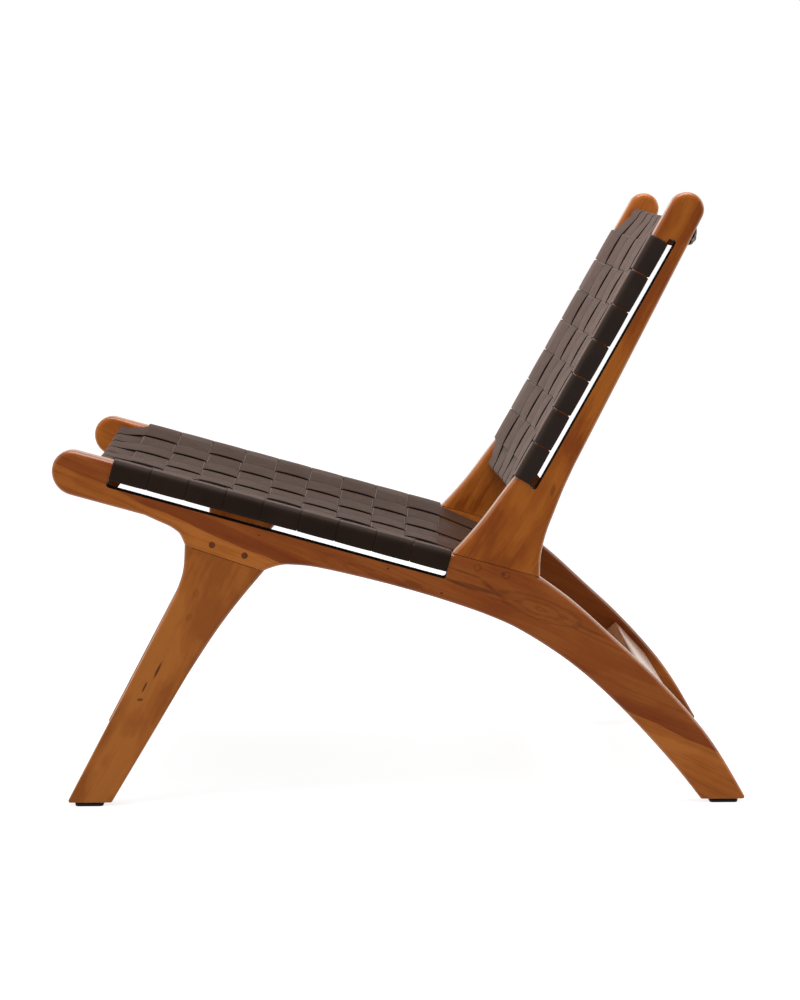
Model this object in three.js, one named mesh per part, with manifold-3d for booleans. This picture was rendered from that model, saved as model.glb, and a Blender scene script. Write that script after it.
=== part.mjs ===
// Sling lounge chair: two arched wooden side frames, joined by dished cross rails and a stretcher,
// with a seat and a back woven from flat leather straps.
// Millimetres. X runs across the chair, Y towards its back and Z up.
// The origin lies on the floor under the middle of the chair, which faces -Y.

import * as THREE from 'three';
import { mergeVertices } from 'three/addons/utils/BufferGeometryUtils.js';
import Module from 'manifold-3d';

const wasm = await Module();
wasm.setup();

// Overall sizes
const frameWidth = 610; // over the two side frames
const frameDepth = 815; // nose of the seat rail to heel of the rear leg
const boardThickness = 32; // side frame boards
const boardEdgeRound = 6; // rounding of the boards' long edges
const seatNoseHeight = 395; // floor to the middle of the rounded nose
const seatSlopeAngle = 15.6; // degrees that the seat falls to the back
const backLeanAngle = 29.6; // degrees that the posts lean from upright

// Clearances
const seatedGap = 0.3; // between pieces that touch or are glued
const facetRoom = 0.2; // extra room where a flat strap bears on a dished rail
const cutOverrun = 2; // cutters pass their faces by this much

// Seat rails, measured along and across the straight rail from the middle of its nose
const railDepth = 51.5;
const noseTopRadius = 23; // the rest of the depth is the nose's lower radius
const seatBarDepth = 20.4; // wood above the slot, which the straps wrap
const seatSlotDepth = 10.6;
const seatSlotMargin = 1; // slot beyond the first and last strap space
const slotCornerRadius = 2;
const kneeStation = 559; // end of the straight top edge, behind the post
const rearFootWidth = 53.5;
const hollowStation = 270; // highest point of the arch behind the front leg
const hollowDepth = 38; // below the rail's middle line
const shoulderStation = 93; // start of the rounded shoulder before the front leg

// Front legs
const frontLegStation = 147.5; // front end of the joint line
const frontLegTopWidth = 97.5;
const frontJointDepth = 47.2; // joint line below the rail's middle line, at its front end
const rearJointDepth = 52.3; // and at its rear end
const frontFootSetback = 12; // foot's toe behind the nose
const frontFootWidth = 53;

// Back posts, measured up and out from where the front face meets the rail
const postStation = 473.9; // along the rail
const postLength = 498.5;
const postTopWidth = 40;
const postWaistHeight = 156; // where the rear edge starts to flare
const postWaistWidth = 53.4;
const postFlareHeight = 109; // where the front edge starts to flare
const postToe = 20.2; // base in front of the front face line
const postHeel = 85.5; // base behind it
const postBarDepth = 18.4; // wood before the slot, which the straps wrap
const postSlotDepth = 9.5;
const postSlotMargin = 6.5;

// Tenons and dowels
const tenonThickness = 12;
const tenonLength = 26;
const tenonShoulder = 15; // joint width left at each end of a leg or post tenon
const stubLength = 9; // blind tenons of the cross rails and the stretcher
const stubShoulder = 6;
const dowelDiameter = 7;
const legDowelRise = 10.5; // above the joint line
const postDowelDrop = 8; // below the joint line

// Straps
const crossStrapWidth = 42.2;
const strapSpacing = 4.2; // between neighbouring lengthwise straps
const strapThickness = 1.8;
const strapGap = 0.3; // between straps that cross
const strapFold = 4; // cut across each fold
const strapBend = 0.4; // flat past a crossing before the strap bends to the other side
const lengthStrapCount = 11;
const slingMargin = 9; // side board to the space of the first lengthwise strap
const tailInset = 5; // strap end before the far face of its rail
const tailRise = 12; // strap end above the slot, on the inner face

// Seat sling, along the rail
const seatDish = 30;
const seatCrossCount = 9;
const seatCrossPitch = 45.55;
const seatWeaveStart = 42;
const frontRailStation = 7.5;
const frontRailThickness = 30;
const frontRailDepth = 36;
const frontRailDrop = 7.5; // ends below the side rails' top
const frontRailDish = 22.5;
const rearRailStation = 519;
const rearRailThickness = 28;
const rearRailDepth = 36;
const rearRailDrop = 12.5;
const rearRailDish = 22.5;

// Back sling, up the post
const backDish = 26;
const backCrossCount = 7;
const backCrossPitch = 46.3;
const backWeaveStart = 109.5;
const lowerBackRailStation = 75.5;
const lowerBackRailThickness = 30;
const lowerBackRailDepth = 34;
const lowerBackRailDrop = 5; // ends behind the posts' front faces
const lowerBackRailDish = 21;
const topBackRailStation = 443.5;
const topBackRailThickness = 28;
const topBackRailDepth = 34;
const topBackRailDrop = 8;
const topBackRailDish = 21;
const crossRailEdgeRound = 5;

// Stretcher board between the rear legs
const stretcherThickness = 17;
const stretcherWidth = 60;
const stretcherInset = 10; // below the legs' outer edge
const stretcherEdgeRound = 2;
const stretcherShare = 0.6; // middle of the board along the leg's outer edge

// Glides
const glideLength = 34;
const glideWidth = 26;
const glideThickness = 4;
const glideTaper = 1.5;
const glideCornerRadius = 5;

// Outlines between their end points, as shares of the way across and down
const legOuterShares = [[0.173, 0.12], [0.383, 0.298], [0.567, 0.458], [0.746, 0.639], [0.869, 0.792]];
const archShares = [
  [0.058, 0.009], [0.144, 0.041], [0.259, 0.092], [0.375, 0.152], [0.49, 0.223],
  [0.577, 0.297], [0.693, 0.434], [0.808, 0.615], [0.925, 0.837],
];
const shoulderShares = [[0.296, 0.183], [0.594, 0.361], [0.745, 0.489], [0.88, 0.65]];
const legFrontShares = [[0.015, 0.095], [0.071, 0.174], [0.148, 0.245], [0.271, 0.36]];
const legRearShares = [[0.138, 0.108], [0.259, 0.211], [0.369, 0.315], [0.521, 0.47]];
const postFlareShares = [[0.21, 0.222], [0.375, 0.405], [0.545, 0.586], [0.75, 0.782]];
const postRearShares = [[0.318, 0.214], [0.591, 0.427], [0.791, 0.588], [0.922, 0.734], [0.986, 0.85]];
const crownFilletShares = [0.56, 1]; // corner of the fillet behind the front leg
const legDowelShares = [0.318, 0.728]; // dowels along their joint line
const postDowelShares = [0.303, 0.634];

// Steps of the curves
const arcSteps = 10;
const archSteps = 18;
const edgeSteps = 8;
const filletSteps = 4;
const roundSteps = 2;
const dishSteps = 14;
const dowelSides = 12;

// Materials
const teak = { color: 0x8b4a22, roughness: 0.42, metalness: 0 };
const teakPale = { color: 0x9a5a2c, roughness: 0.42, metalness: 0 };
const seatLeather = { color: 0x5a4941, roughness: 0.5, metalness: 0 };
const crossLeather = { color: 0x4a3a33, roughness: 0.5, metalness: 0 };
const blackRubber = { color: 0x141414, roughness: 0.8, metalness: 0 };

// Reference lines of a side frame, in the plane of Y and Z
const seatSlope = THREE.MathUtils.degToRad(seatSlopeAngle);
const backLean = THREE.MathUtils.degToRad(backLeanAngle);
const quarterTurn = Math.PI / 2;
const seatAlong = new THREE.Vector2(Math.cos(seatSlope), -Math.sin(seatSlope));
const seatOut = new THREE.Vector2(Math.sin(seatSlope), Math.cos(seatSlope));
const postAlong = new THREE.Vector2(Math.sin(backLean), Math.cos(backLean));
const postOut = new THREE.Vector2(-Math.cos(backLean), Math.sin(backLean));
const noseLowRadius = railDepth - noseTopRadius;
const noseOffset = noseLowRadius - railDepth / 2;
const noseCentre = new THREE.Vector2(
  -frameDepth / 2 + noseLowRadius - noseOffset * (seatAlong.x + seatOut.x),
  seatNoseHeight,
);
const footHeight = glideThickness + seatedGap;
const outerFace = frameWidth / 2;
const innerFace = outerFace - boardThickness;
const boardMiddle = outerFace - boardThickness / 2;
const strapLift = seatedGap + strapThickness / 2;

function onRail(along, out) {
  return noseCentre.clone().addScaledVector(seatAlong, along).addScaledVector(seatOut, out);
}

const postOrigin = onRail(postStation, railDepth / 2);

function onPost(along, out) {
  return postOrigin.clone().addScaledVector(postAlong, along).addScaledVector(postOut, out);
}

// Points of the outlines

function between(start, end, shares) {
  return shares.map(([across, down]) => new THREE.Vector2(
    THREE.MathUtils.lerp(start.x, end.x, across),
    THREE.MathUtils.lerp(start.y, end.y, down),
  ));
}

function splinePoints(points, steps) {
  return new THREE.SplineCurve(points).getPoints(steps);
}

function arcPoints(centre, radius, fromAngle, toAngle, steps) {
  const arc = new THREE.ArcCurve(centre.x, centre.y, radius, fromAngle, toAngle, fromAngle > toAngle);
  return arc.getPoints(steps);
}

// Solids

function asManifold(geometry) {
  const bare = geometry.clone();
  bare.deleteAttribute('normal');
  bare.deleteAttribute('uv');
  const merged = mergeVertices(bare);
  return new wasm.Manifold(new wasm.Mesh({
    numProp: 3,
    vertProperties: new Float32Array(merged.attributes.position.array),
    triVerts: new Uint32Array(merged.index.array),
  }));
}

function asGeometry(solid) {
  const mesh = solid.getMesh();
  const geometry = new THREE.BufferGeometry();
  geometry.setAttribute('position', new THREE.BufferAttribute(new Float32Array(mesh.vertProperties), 3));
  geometry.setIndex(new THREE.BufferAttribute(new Uint32Array(mesh.triVerts), 1));
  geometry.computeVertexNormals();
  return geometry;
}

// A shape drawn across and up is turned so that its depth runs along X, centred on the given place
const sideways = new THREE.Matrix4().makeBasis(
  new THREE.Vector3(0, 1, 0),
  new THREE.Vector3(0, 0, 1),
  new THREE.Vector3(1, 0, 0),
);

function board(points, thickness, middle, edgeRound = 0) {
  const geometry = new THREE.ExtrudeGeometry(new THREE.Shape(points), {
    depth: thickness - edgeRound * 2,
    bevelEnabled: edgeRound > 0,
    bevelThickness: edgeRound,
    bevelSize: edgeRound,
    bevelOffset: -edgeRound,
    bevelSegments: roundSteps,
  });
  geometry.translate(0, 0, -thickness / 2 + edgeRound);
  geometry.applyMatrix4(sideways);
  geometry.translate(middle, 0, 0);
  return geometry;
}

// A box between two corners of a sloping frame, given as its four corner points in the Y-Z plane
function slopedBlock(onFrame, [fromAlong, toAlong], [fromOut, toOut], thickness, middle) {
  return board([
    onFrame(fromAlong, fromOut), onFrame(toAlong, fromOut), onFrame(toAlong, toOut), onFrame(fromAlong, toOut),
  ], thickness, middle);
}

function dowelAt(point, radius, length, middle) {
  const geometry = new THREE.CylinderGeometry(radius, radius, length, dowelSides);
  geometry.rotateZ(quarterTurn);
  geometry.translate(middle, point.x, point.y);
  return geometry;
}

function roundedBlock(onFrame, [fromAlong, toAlong], [fromOut, toOut], radius, thickness, middle) {
  const corners = [
    [toAlong - radius, toOut - radius], [fromAlong + radius, toOut - radius],
    [fromAlong + radius, fromOut + radius], [toAlong - radius, fromOut + radius],
  ];
  const points = corners.flatMap(([along, out], index) => {
    const corner = arcPoints(
      new THREE.Vector2(along, out), radius, quarterTurn * index, quarterTurn * (index + 1), roundSteps,
    );
    return corner.map((point) => onFrame(point.x, point.y));
  });
  return board(points, thickness, middle);
}

function cut(geometry, cutters) {
  const whole = cutters.reduce((solid, cutter) => solid.subtract(asManifold(cutter)), asManifold(geometry));
  return asGeometry(whole);
}

function join(geometry, extras) {
  const whole = extras.reduce((solid, extra) => solid.add(asManifold(extra)), asManifold(geometry));
  return asGeometry(whole);
}

// Places on the side frame
const kneePoint = onRail(kneeStation, railDepth / 2);
const heelPoint = new THREE.Vector2(frameDepth / 2, footHeight);
const rearFootToe = new THREE.Vector2(frameDepth / 2 - rearFootWidth, footHeight);
const frontFootToe = new THREE.Vector2(-frameDepth / 2 + frontFootSetback, footHeight);
const frontFootHeel = new THREE.Vector2(frontFootToe.x + frontFootWidth, footHeight);
const legCurve = new THREE.SplineCurve([kneePoint, ...between(kneePoint, heelPoint, legOuterShares), heelPoint]);
const legRearStation = frontLegStation + frontLegTopWidth;

// The joint line of the front leg, at a share of its width and a height above it
function onLegJoint(share, rise) {
  const depth = THREE.MathUtils.lerp(frontJointDepth, rearJointDepth, share);
  return onRail(frontLegStation + frontLegTopWidth * share, rise - depth);
}

const legTenonSpan = [tenonShoulder / frontLegTopWidth, 1 - tenonShoulder / frontLegTopWidth];
const seatSlotSpan = [
  seatWeaveStart - seatSlotMargin,
  seatWeaveStart + seatCrossCount * seatCrossPitch + seatSlotMargin,
];
const seatSlotTop = railDepth / 2 - seatBarDepth;
const backSlotSpan = [
  backWeaveStart - postSlotMargin,
  backWeaveStart + backCrossCount * backCrossPitch + postSlotMargin,
];
const postBase = [postStation - postToe, postStation + postHeel];

const legDowelPlaces = legDowelShares.map((share) => onLegJoint(share, legDowelRise));
const postDowelPlaces = postDowelShares.map((share) => (
  onRail(THREE.MathUtils.lerp(postBase[0], postBase[1], share), railDepth / 2 - postDowelDrop)
));

// Slings: one record for each, in its own frame with along up the rail or post and out towards the sitter
const seatSling = {
  name: 'seat',
  origin: onRail(0, railDepth / 2),
  tilt: -seatSlope,
  dish: seatDish,
  barDepth: seatBarDepth,
  crossCount: seatCrossCount,
  crossPlace: (index) => seatWeaveStart + seatCrossPitch * (index + 1 / 2),
  rails: [
    {
      name: 'front_seat_rail',
      start: frontRailStation,
      thickness: frontRailThickness,
      depth: frontRailDepth,
      drop: frontRailDrop,
      dish: frontRailDish,
    },
    {
      name: 'rear_seat_rail',
      start: rearRailStation,
      thickness: rearRailThickness,
      depth: rearRailDepth,
      drop: rearRailDrop,
      dish: rearRailDish,
    },
  ],
};
const backSling = {
  name: 'back',
  origin: postOrigin,
  tilt: quarterTurn - backLean,
  dish: backDish,
  barDepth: postBarDepth,
  crossCount: backCrossCount,
  // the first crosswise strap of the back is the top one
  crossPlace: (index) => backWeaveStart + backCrossPitch * (backCrossCount - index - 1 / 2),
  rails: [
    {
      name: 'lower_back_rail',
      start: lowerBackRailStation,
      thickness: lowerBackRailThickness,
      depth: lowerBackRailDepth,
      drop: lowerBackRailDrop,
      dish: lowerBackRailDish,
    },
    {
      name: 'top_back_rail',
      start: topBackRailStation,
      thickness: topBackRailThickness,
      depth: topBackRailDepth,
      drop: topBackRailDrop,
      dish: topBackRailDish,
    },
  ],
};

// Stub tenon of a cross rail: its span along the sling and its span outwards
function stubSpans(rail) {
  return {
    along: [rail.start + stubShoulder, rail.start + rail.thickness - stubShoulder],
    out: [-rail.drop - rail.depth + stubShoulder, -rail.drop - stubShoulder],
  };
}

function widen([from, to], by) {
  return [from - by, to + by];
}

function slingPoint(sling) {
  return (along, out) => {
    const place = new THREE.Vector2(along, out).rotateAround(new THREE.Vector2(), sling.tilt);
    return place.add(sling.origin);
  };
}

// Cutter for the blind mortise of a cross rail in one side board
function stubMortise(sling, rail, side) {
  const { along, out } = stubSpans(rail);
  const depth = stubLength + seatedGap + cutOverrun;
  const middle = side * (innerFace + stubLength + seatedGap - depth / 2);
  return slopedBlock(slingPoint(sling), widen(along, seatedGap), widen(out, seatedGap), depth, middle);
}

// Stretcher board, along the leg's outer edge
const stretcherDown = legCurve.getTangentAt(stretcherShare);
const stretcherRadial = new THREE.Vector2(-stretcherDown.y, stretcherDown.x);
const stretcherMiddle = legCurve.getPointAt(stretcherShare)
  .addScaledVector(stretcherRadial, -stretcherInset - stretcherThickness / 2);

function onStretcher(down, out) {
  return stretcherMiddle.clone().addScaledVector(stretcherRadial, out).addScaledVector(stretcherDown, down);
}

const stretcherStub = {
  down: [-stretcherWidth / 2 + stubShoulder, stretcherWidth / 2 - stubShoulder],
  out: [-stretcherThickness / 2 + stubShoulder / 2, stretcherThickness / 2 - stubShoulder / 2],
};

function stretcherMortise(side) {
  const depth = stubLength + seatedGap + cutOverrun;
  const middle = side * (innerFace + stubLength + seatedGap - depth / 2);
  const down = widen(stretcherStub.down, seatedGap);
  const out = widen(stretcherStub.out, seatedGap);
  return slopedBlock(onStretcher, down, out, depth, middle);
}

// Seat rail and rear leg in one board
function seatRailGeometry(side) {
  const middle = side * boardMiddle;
  const legFront = onLegJoint(0, 0);
  const legRear = onLegJoint(1, 0);
  const crown = onRail(hollowStation, -hollowDepth);
  const shoulder = onRail(shoulderStation, -railDepth / 2);
  const noseAngle = quarterTurn - seatSlope;
  const topCentre = onRail(-noseOffset, noseOffset);
  const lowCentre = onRail(noseOffset, noseOffset);
  const filletCorner = between(legRear, crown, [crownFilletShares])[0];
  const fillet = new THREE.QuadraticBezierCurve(crown, filletCorner, legRear);
  const outline = [
    ...arcPoints(lowCentre, noseLowRadius, noseAngle + Math.PI, noseAngle + quarterTurn, arcSteps / 2),
    ...arcPoints(topCentre, noseTopRadius, noseAngle + quarterTurn, noseAngle, arcSteps / 2).slice(1),
    ...legCurve.getPoints(arcSteps),
    ...splinePoints([crown, ...between(crown, rearFootToe, archShares), rearFootToe], archSteps).reverse(),
    ...fillet.getPoints(filletSteps).slice(1),
    ...splinePoints([shoulder, ...between(shoulder, legFront, shoulderShares), legFront], edgeSteps).reverse(),
  ];
  const through = boardThickness + cutOverrun * 2;
  const slot = roundedBlock(
    onRail, seatSlotSpan, [seatSlotTop - seatSlotDepth, seatSlotTop], slotCornerRadius, through, middle,
  );
  const legMortise = board([
    onLegJoint(legTenonSpan[0], -cutOverrun), onLegJoint(legTenonSpan[1], -cutOverrun),
    onLegJoint(legTenonSpan[1], tenonLength + seatedGap), onLegJoint(legTenonSpan[0], tenonLength + seatedGap),
  ], tenonThickness + seatedGap * 2, middle);
  const postMortise = slopedBlock(
    onRail,
    [postBase[0] + tenonShoulder - seatedGap, postBase[1] - tenonShoulder + seatedGap],
    [railDepth / 2 - tenonLength - seatedGap, railDepth / 2 + cutOverrun],
    tenonThickness + seatedGap * 2,
    middle,
  );
  const dowelHoles = [...legDowelPlaces, ...postDowelPlaces].map((place) => (
    dowelAt(place, dowelDiameter / 2 + seatedGap, through, middle)
  ));
  const stubs = seatSling.rails.map((rail) => stubMortise(seatSling, rail, side));
  const cutters = [slot, legMortise, postMortise, ...dowelHoles, ...stubs, stretcherMortise(side)];
  return cut(board(outline, boardThickness, middle, boardEdgeRound), cutters);
}

// Front leg with the tenon that enters the seat rail and the dowels that pin it there
function frontLegGeometry(side) {
  const middle = side * boardMiddle;
  const topFront = onLegJoint(0, -seatedGap);
  const topRear = onLegJoint(1, -seatedGap);
  const straightFront = between(topFront, frontFootToe, legFrontShares);
  const straightRear = between(topRear, frontFootHeel, legRearShares);
  const outline = [
    ...splinePoints([topRear, ...straightRear], edgeSteps),
    frontFootHeel,
    frontFootToe,
    ...splinePoints([topFront, ...straightFront], edgeSteps).reverse(),
  ];
  const tenonSpan = [legTenonSpan[0] + seatedGap / frontLegTopWidth, legTenonSpan[1] - seatedGap / frontLegTopWidth];
  const tenon = board([
    onLegJoint(tenonSpan[0], -tenonShoulder), onLegJoint(tenonSpan[1], -tenonShoulder),
    onLegJoint(tenonSpan[1], tenonLength), onLegJoint(tenonSpan[0], tenonLength),
  ], tenonThickness, middle);
  const dowels = legDowelPlaces.map((place) => dowelAt(place, dowelDiameter / 2, boardThickness, middle));
  return join(board(outline, boardThickness, middle, boardEdgeRound), [tenon, ...dowels]);
}

// Back post with the tenon that enters the seat rail and the dowels that pin it there
function backPostGeometry(side) {
  const middle = side * boardMiddle;
  const topRadius = postTopWidth / 2;
  const baseOut = railDepth / 2 + seatedGap;
  const baseToe = onRail(postBase[0], baseOut);
  const baseHeel = onRail(postBase[1], baseOut);
  const waist = onPost(postWaistHeight, -postWaistWidth);
  const frontAngle = Math.PI - backLean;
  const flare = onPost(postFlareHeight, 0);
  const outline = [
    ...splinePoints([flare, ...between(flare, baseToe, postFlareShares), baseToe], edgeSteps).reverse(),
    ...arcPoints(onPost(postLength - topRadius, -topRadius), topRadius, frontAngle, frontAngle - Math.PI, arcSteps),
    ...splinePoints([waist, ...between(waist, baseHeel, postRearShares), baseHeel], edgeSteps),
  ];
  const slot = roundedBlock(
    onPost, backSlotSpan, [-postBarDepth - postSlotDepth, -postBarDepth], slotCornerRadius,
    boardThickness + cutOverrun * 2, middle,
  );
  const tenon = slopedBlock(
    onRail,
    [postBase[0] + tenonShoulder, postBase[1] - tenonShoulder],
    [railDepth / 2 - tenonLength, railDepth / 2 + tenonShoulder / 2],
    tenonThickness,
    middle,
  );
  const dowels = postDowelPlaces.map((place) => dowelAt(place, dowelDiameter / 2, boardThickness, middle));
  const stubs = backSling.rails.map((rail) => stubMortise(backSling, rail, side));
  const whole = join(board(outline, boardThickness, middle, boardEdgeRound), [tenon, ...dowels]);
  return cut(whole, [slot, ...stubs]);
}

// How far a dish has fallen below its ends
function dip(dish, x) {
  const share = x / innerFace;
  return dish * (1 - share * share);
}

// Cross rail that follows the dish, in the sling's frame: X across, Y along and Z outwards
function crossRailGeometry(rail) {
  const end = innerFace - seatedGap;
  const stations = Array.from({ length: dishSteps + 1 }, (_, index) => (
    THREE.MathUtils.lerp(-end, end, index / dishSteps)
  ));
  const top = stations.map((x) => new THREE.Vector2(x, -rail.drop - facetRoom - dip(rail.dish, x)));
  const bottom = top.map((point) => new THREE.Vector2(point.x, point.y - rail.depth)).reverse();
  const geometry = new THREE.ExtrudeGeometry(new THREE.Shape([...top, ...bottom]), {
    depth: rail.thickness - crossRailEdgeRound * 2,
    bevelThickness: crossRailEdgeRound,
    bevelSize: crossRailEdgeRound,
    bevelOffset: -crossRailEdgeRound,
    bevelSegments: roundSteps,
  });
  geometry.rotateX(quarterTurn);
  geometry.translate(0, rail.start + rail.thickness - crossRailEdgeRound, 0);
  const { along, out } = stubSpans(rail);
  const length = stubLength + stubShoulder * 2;
  const stubs = [-1, 1].map((side) => {
    const stub = new THREE.BoxGeometry(length, along[1] - along[0], out[1] - out[0]);
    return stub.translate(
      side * (innerFace + stubLength - length / 2),
      (along[0] + along[1]) / 2,
      (out[0] + out[1]) / 2,
    );
  });
  return join(geometry, stubs);
}

function stretcherGeometry() {
  const halfWidth = stretcherWidth / 2;
  const halfThickness = stretcherThickness / 2;
  const span = (innerFace - seatedGap) * 2;
  const corners = [
    onStretcher(-halfWidth, -halfThickness), onStretcher(halfWidth, -halfThickness),
    onStretcher(halfWidth, halfThickness), onStretcher(-halfWidth, halfThickness),
  ];
  const stub = slopedBlock(onStretcher, stretcherStub.down, stretcherStub.out, (innerFace + stubLength) * 2, 0);
  return join(board(corners, span, 0, stretcherEdgeRound), [stub]);
}

// Straps

// Strap of the given width that follows the points, with mitred bends
function strapGeometry(points, width) {
  const half = strapThickness / 2;
  const directions = points.slice(1).map((point, index) => point.clone().sub(points[index]).normalize());
  const normals = directions.map((direction) => new THREE.Vector2(-direction.y, direction.x));
  const offsets = points.map((_, index) => {
    const before = normals[Math.max(index - 1, 0)];
    const after = normals[Math.min(index, normals.length - 1)];
    const mitre = before.clone().add(after).normalize();
    return mitre.multiplyScalar(half / mitre.dot(after));
  });
  const upper = points.map((point, index) => point.clone().add(offsets[index]));
  const lower = points.map((point, index) => point.clone().sub(offsets[index])).reverse();
  const geometry = new THREE.ExtrudeGeometry(new THREE.Shape([...upper, ...lower]), {
    depth: width,
    bevelEnabled: false,
  });
  return geometry.translate(0, 0, -width / 2);
}

const crossingLift = (strapThickness + strapGap) / 2;
const lengthPitch = (innerFace - slingMargin) * 2 / lengthStrapCount;
const lengthStrapWidth = lengthPitch - strapSpacing;
const overLength = lengthStrapWidth / 2 + strapBend; // half of the flat of a strap over a lengthwise one
const overCross = crossStrapWidth / 2 + strapBend;

// Lengthwise straps count from -X; one lies over a crosswise strap when their numbers add up to even
function lengthwiseLift(lengthIndex, crossIndex) {
  return (lengthIndex + crossIndex) % 2 === 0 ? crossingLift : -crossingLift;
}

// Where a lengthwise strap lies on a dish: its middle, its height there and its sideways slope
function strapSeat(dish, index) {
  const x = lengthPitch * (index - (lengthStrapCount - 1) / 2);
  const left = strapLift - dip(dish, x - overLength);
  const right = strapLift - dip(dish, x + overLength);
  return { x, height: (left + right) / 2, slope: (right - left) / (overLength * 2) };
}

// The turn of a lengthwise strap round its rail, from the tail to the last point on top.
// Way is 1 where the weave lies ahead of the rail and -1 where it lies behind.
function railTurn(rail, height, way) {
  const face = way > 0 ? rail.start : rail.start + rail.thickness;
  const far = way > 0 ? rail.start + rail.thickness : rail.start;
  const outside = face - way * (strapLift + facetRoom);
  const top = height - rail.drop;
  const under = top - rail.depth - (strapLift + facetRoom) * 2;
  return [
    new THREE.Vector2(far - way * tailInset, under),
    new THREE.Vector2(outside + way * strapFold, under),
    new THREE.Vector2(outside, under + strapFold),
    new THREE.Vector2(outside, top - strapFold),
    new THREE.Vector2(outside + way * strapFold, top),
    new THREE.Vector2(far - way * crossRailEdgeRound, top),
  ];
}

// Slopes a strap sideways, by an amount that follows its place along the sling
function leanStrap(geometry, slopeAt) {
  const { position } = geometry.attributes;
  for (let vertex = 0; vertex < position.count; vertex += 1) {
    const lean = slopeAt(position.getY(vertex)) * position.getX(vertex);
    position.setZ(vertex, position.getZ(vertex) + lean);
  }
}

function lengthwiseStrap(sling, index) {
  const seat = strapSeat(sling.dish, index);
  const crossings = Array.from({ length: sling.crossCount }, (_, cross) => ({
    place: sling.crossPlace(cross),
    out: seat.height + lengthwiseLift(index, cross),
  })).sort((first, second) => first.place - second.place);
  const [startRail, endRail] = sling.rails;
  const [startSeat, endSeat] = sling.rails.map((rail) => strapSeat(rail.dish, index));
  const path = [
    ...railTurn(startRail, startSeat.height, 1),
    ...crossings.flatMap(({ place, out }) => [
      new THREE.Vector2(place - overCross, out),
      new THREE.Vector2(place + overCross, out),
    ]),
    ...railTurn(endRail, endSeat.height, -1).reverse(),
  ];
  const geometry = strapGeometry(path, lengthStrapWidth);
  geometry.applyMatrix4(sideways);
  const weaveStart = startRail.start + startRail.thickness;
  leanStrap(geometry, (along) => {
    if (along < weaveStart) return startSeat.slope;
    return along > endRail.start ? endSeat.slope : seat.slope;
  });
  geometry.translate(seat.x, 0, 0);
  return geometry;
}

// The turn of a crosswise strap over the board at one side, from its tail to the top of the board
function boardTurn(sling, side) {
  const outside = outerFace + strapLift;
  const inside = innerFace - strapLift;
  const under = -sling.barDepth - strapLift;
  return [
    [inside, under + tailRise], [inside, under], [outside, under], [outside, strapLift - strapFold],
    [outside - strapFold, strapLift], [innerFace + boardEdgeRound, strapLift],
  ].map(([x, out]) => new THREE.Vector2(side * x, out));
}

function crosswiseStrap(sling, index) {
  const crossings = Array.from({ length: lengthStrapCount }, (_, length) => {
    const seat = strapSeat(sling.dish, length);
    const height = seat.height - lengthwiseLift(length, index);
    return [
      new THREE.Vector2(seat.x - overLength, height - seat.slope * overLength),
      new THREE.Vector2(seat.x + overLength, height + seat.slope * overLength),
    ];
  });
  const path = [...boardTurn(sling, -1), ...crossings.flat(), ...boardTurn(sling, 1).reverse()];
  const geometry = strapGeometry(path, crossStrapWidth);
  geometry.rotateX(quarterTurn);
  geometry.translate(0, sling.crossPlace(index), 0);
  return geometry;
}

// Black glide under a foot, tapered to the floor
function glideGeometry(middle, along) {
  const halfLength = glideLength / 2;
  const halfWidth = glideWidth / 2;
  const corner = (x, y, index) => arcPoints(
    new THREE.Vector2(x, y), glideCornerRadius - glideTaper, quarterTurn * index, quarterTurn * (index + 1), roundSteps,
  );
  const insetX = halfWidth - glideCornerRadius;
  const insetY = halfLength - glideCornerRadius;
  const outline = [
    ...corner(insetX, insetY, 0), ...corner(-insetX, insetY, 1),
    ...corner(-insetX, -insetY, 2), ...corner(insetX, -insetY, 3),
  ];
  const foot = new THREE.ExtrudeGeometry(new THREE.Shape(outline), {
    depth: glideThickness / 2,
    bevelThickness: glideThickness / 4,
    bevelSize: glideTaper,
    bevelSegments: 1,
  });
  foot.translate(middle, along, glideThickness / 4);
  return foot;
}

// Assembly
const chair = new THREE.Group();

function add(parent, name, geometry, finish) {
  const mesh = new THREE.Mesh(geometry, new THREE.MeshStandardMaterial(finish));
  mesh.name = name;
  parent.add(mesh);
}

for (const [sideName, side] of [['left', 1], ['right', -1]]) {
  add(chair, `${sideName}_seat_rail`, seatRailGeometry(side), teak);
  add(chair, `${sideName}_front_leg`, frontLegGeometry(side), teakPale);
  add(chair, `${sideName}_back_post`, backPostGeometry(side), teak);
}

add(chair, 'rear_leg_stretcher', stretcherGeometry(), teakPale);

for (const sling of [seatSling, backSling]) {
  const frame = new THREE.Group();
  frame.position.set(0, sling.origin.x, sling.origin.y);
  frame.rotation.x = sling.tilt;
  chair.add(frame);
  for (const rail of sling.rails) {
    add(frame, rail.name, crossRailGeometry(rail), teakPale);
  }
  for (let index = 0; index < lengthStrapCount; index += 1) {
    const number = String(index + 1).padStart(2, '0');
    add(frame, `${sling.name}_long_strap_${number}`, lengthwiseStrap(sling, index), seatLeather);
  }
  for (let index = 0; index < sling.crossCount; index += 1) {
    add(frame, `${sling.name}_cross_strap_${index + 1}`, crosswiseStrap(sling, index), crossLeather);
  }
}

const frontFootMiddle = (frontFootToe.x + frontFootHeel.x) / 2;
const rearFootMiddle = (rearFootToe.x + heelPoint.x) / 2;
for (const [sideName, side] of [['left', 1], ['right', -1]]) {
  add(chair, `${sideName}_front_glide`, glideGeometry(side * boardMiddle, frontFootMiddle), blackRubber);
  add(chair, `${sideName}_rear_glide`, glideGeometry(side * boardMiddle, rearFootMiddle), blackRubber);
}

export default chair;
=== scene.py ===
"""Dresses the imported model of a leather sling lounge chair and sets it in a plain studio.

Sizes are in millimetres until a mesh is made. X runs across the chair, Y to its back and Z up.
"""

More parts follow.
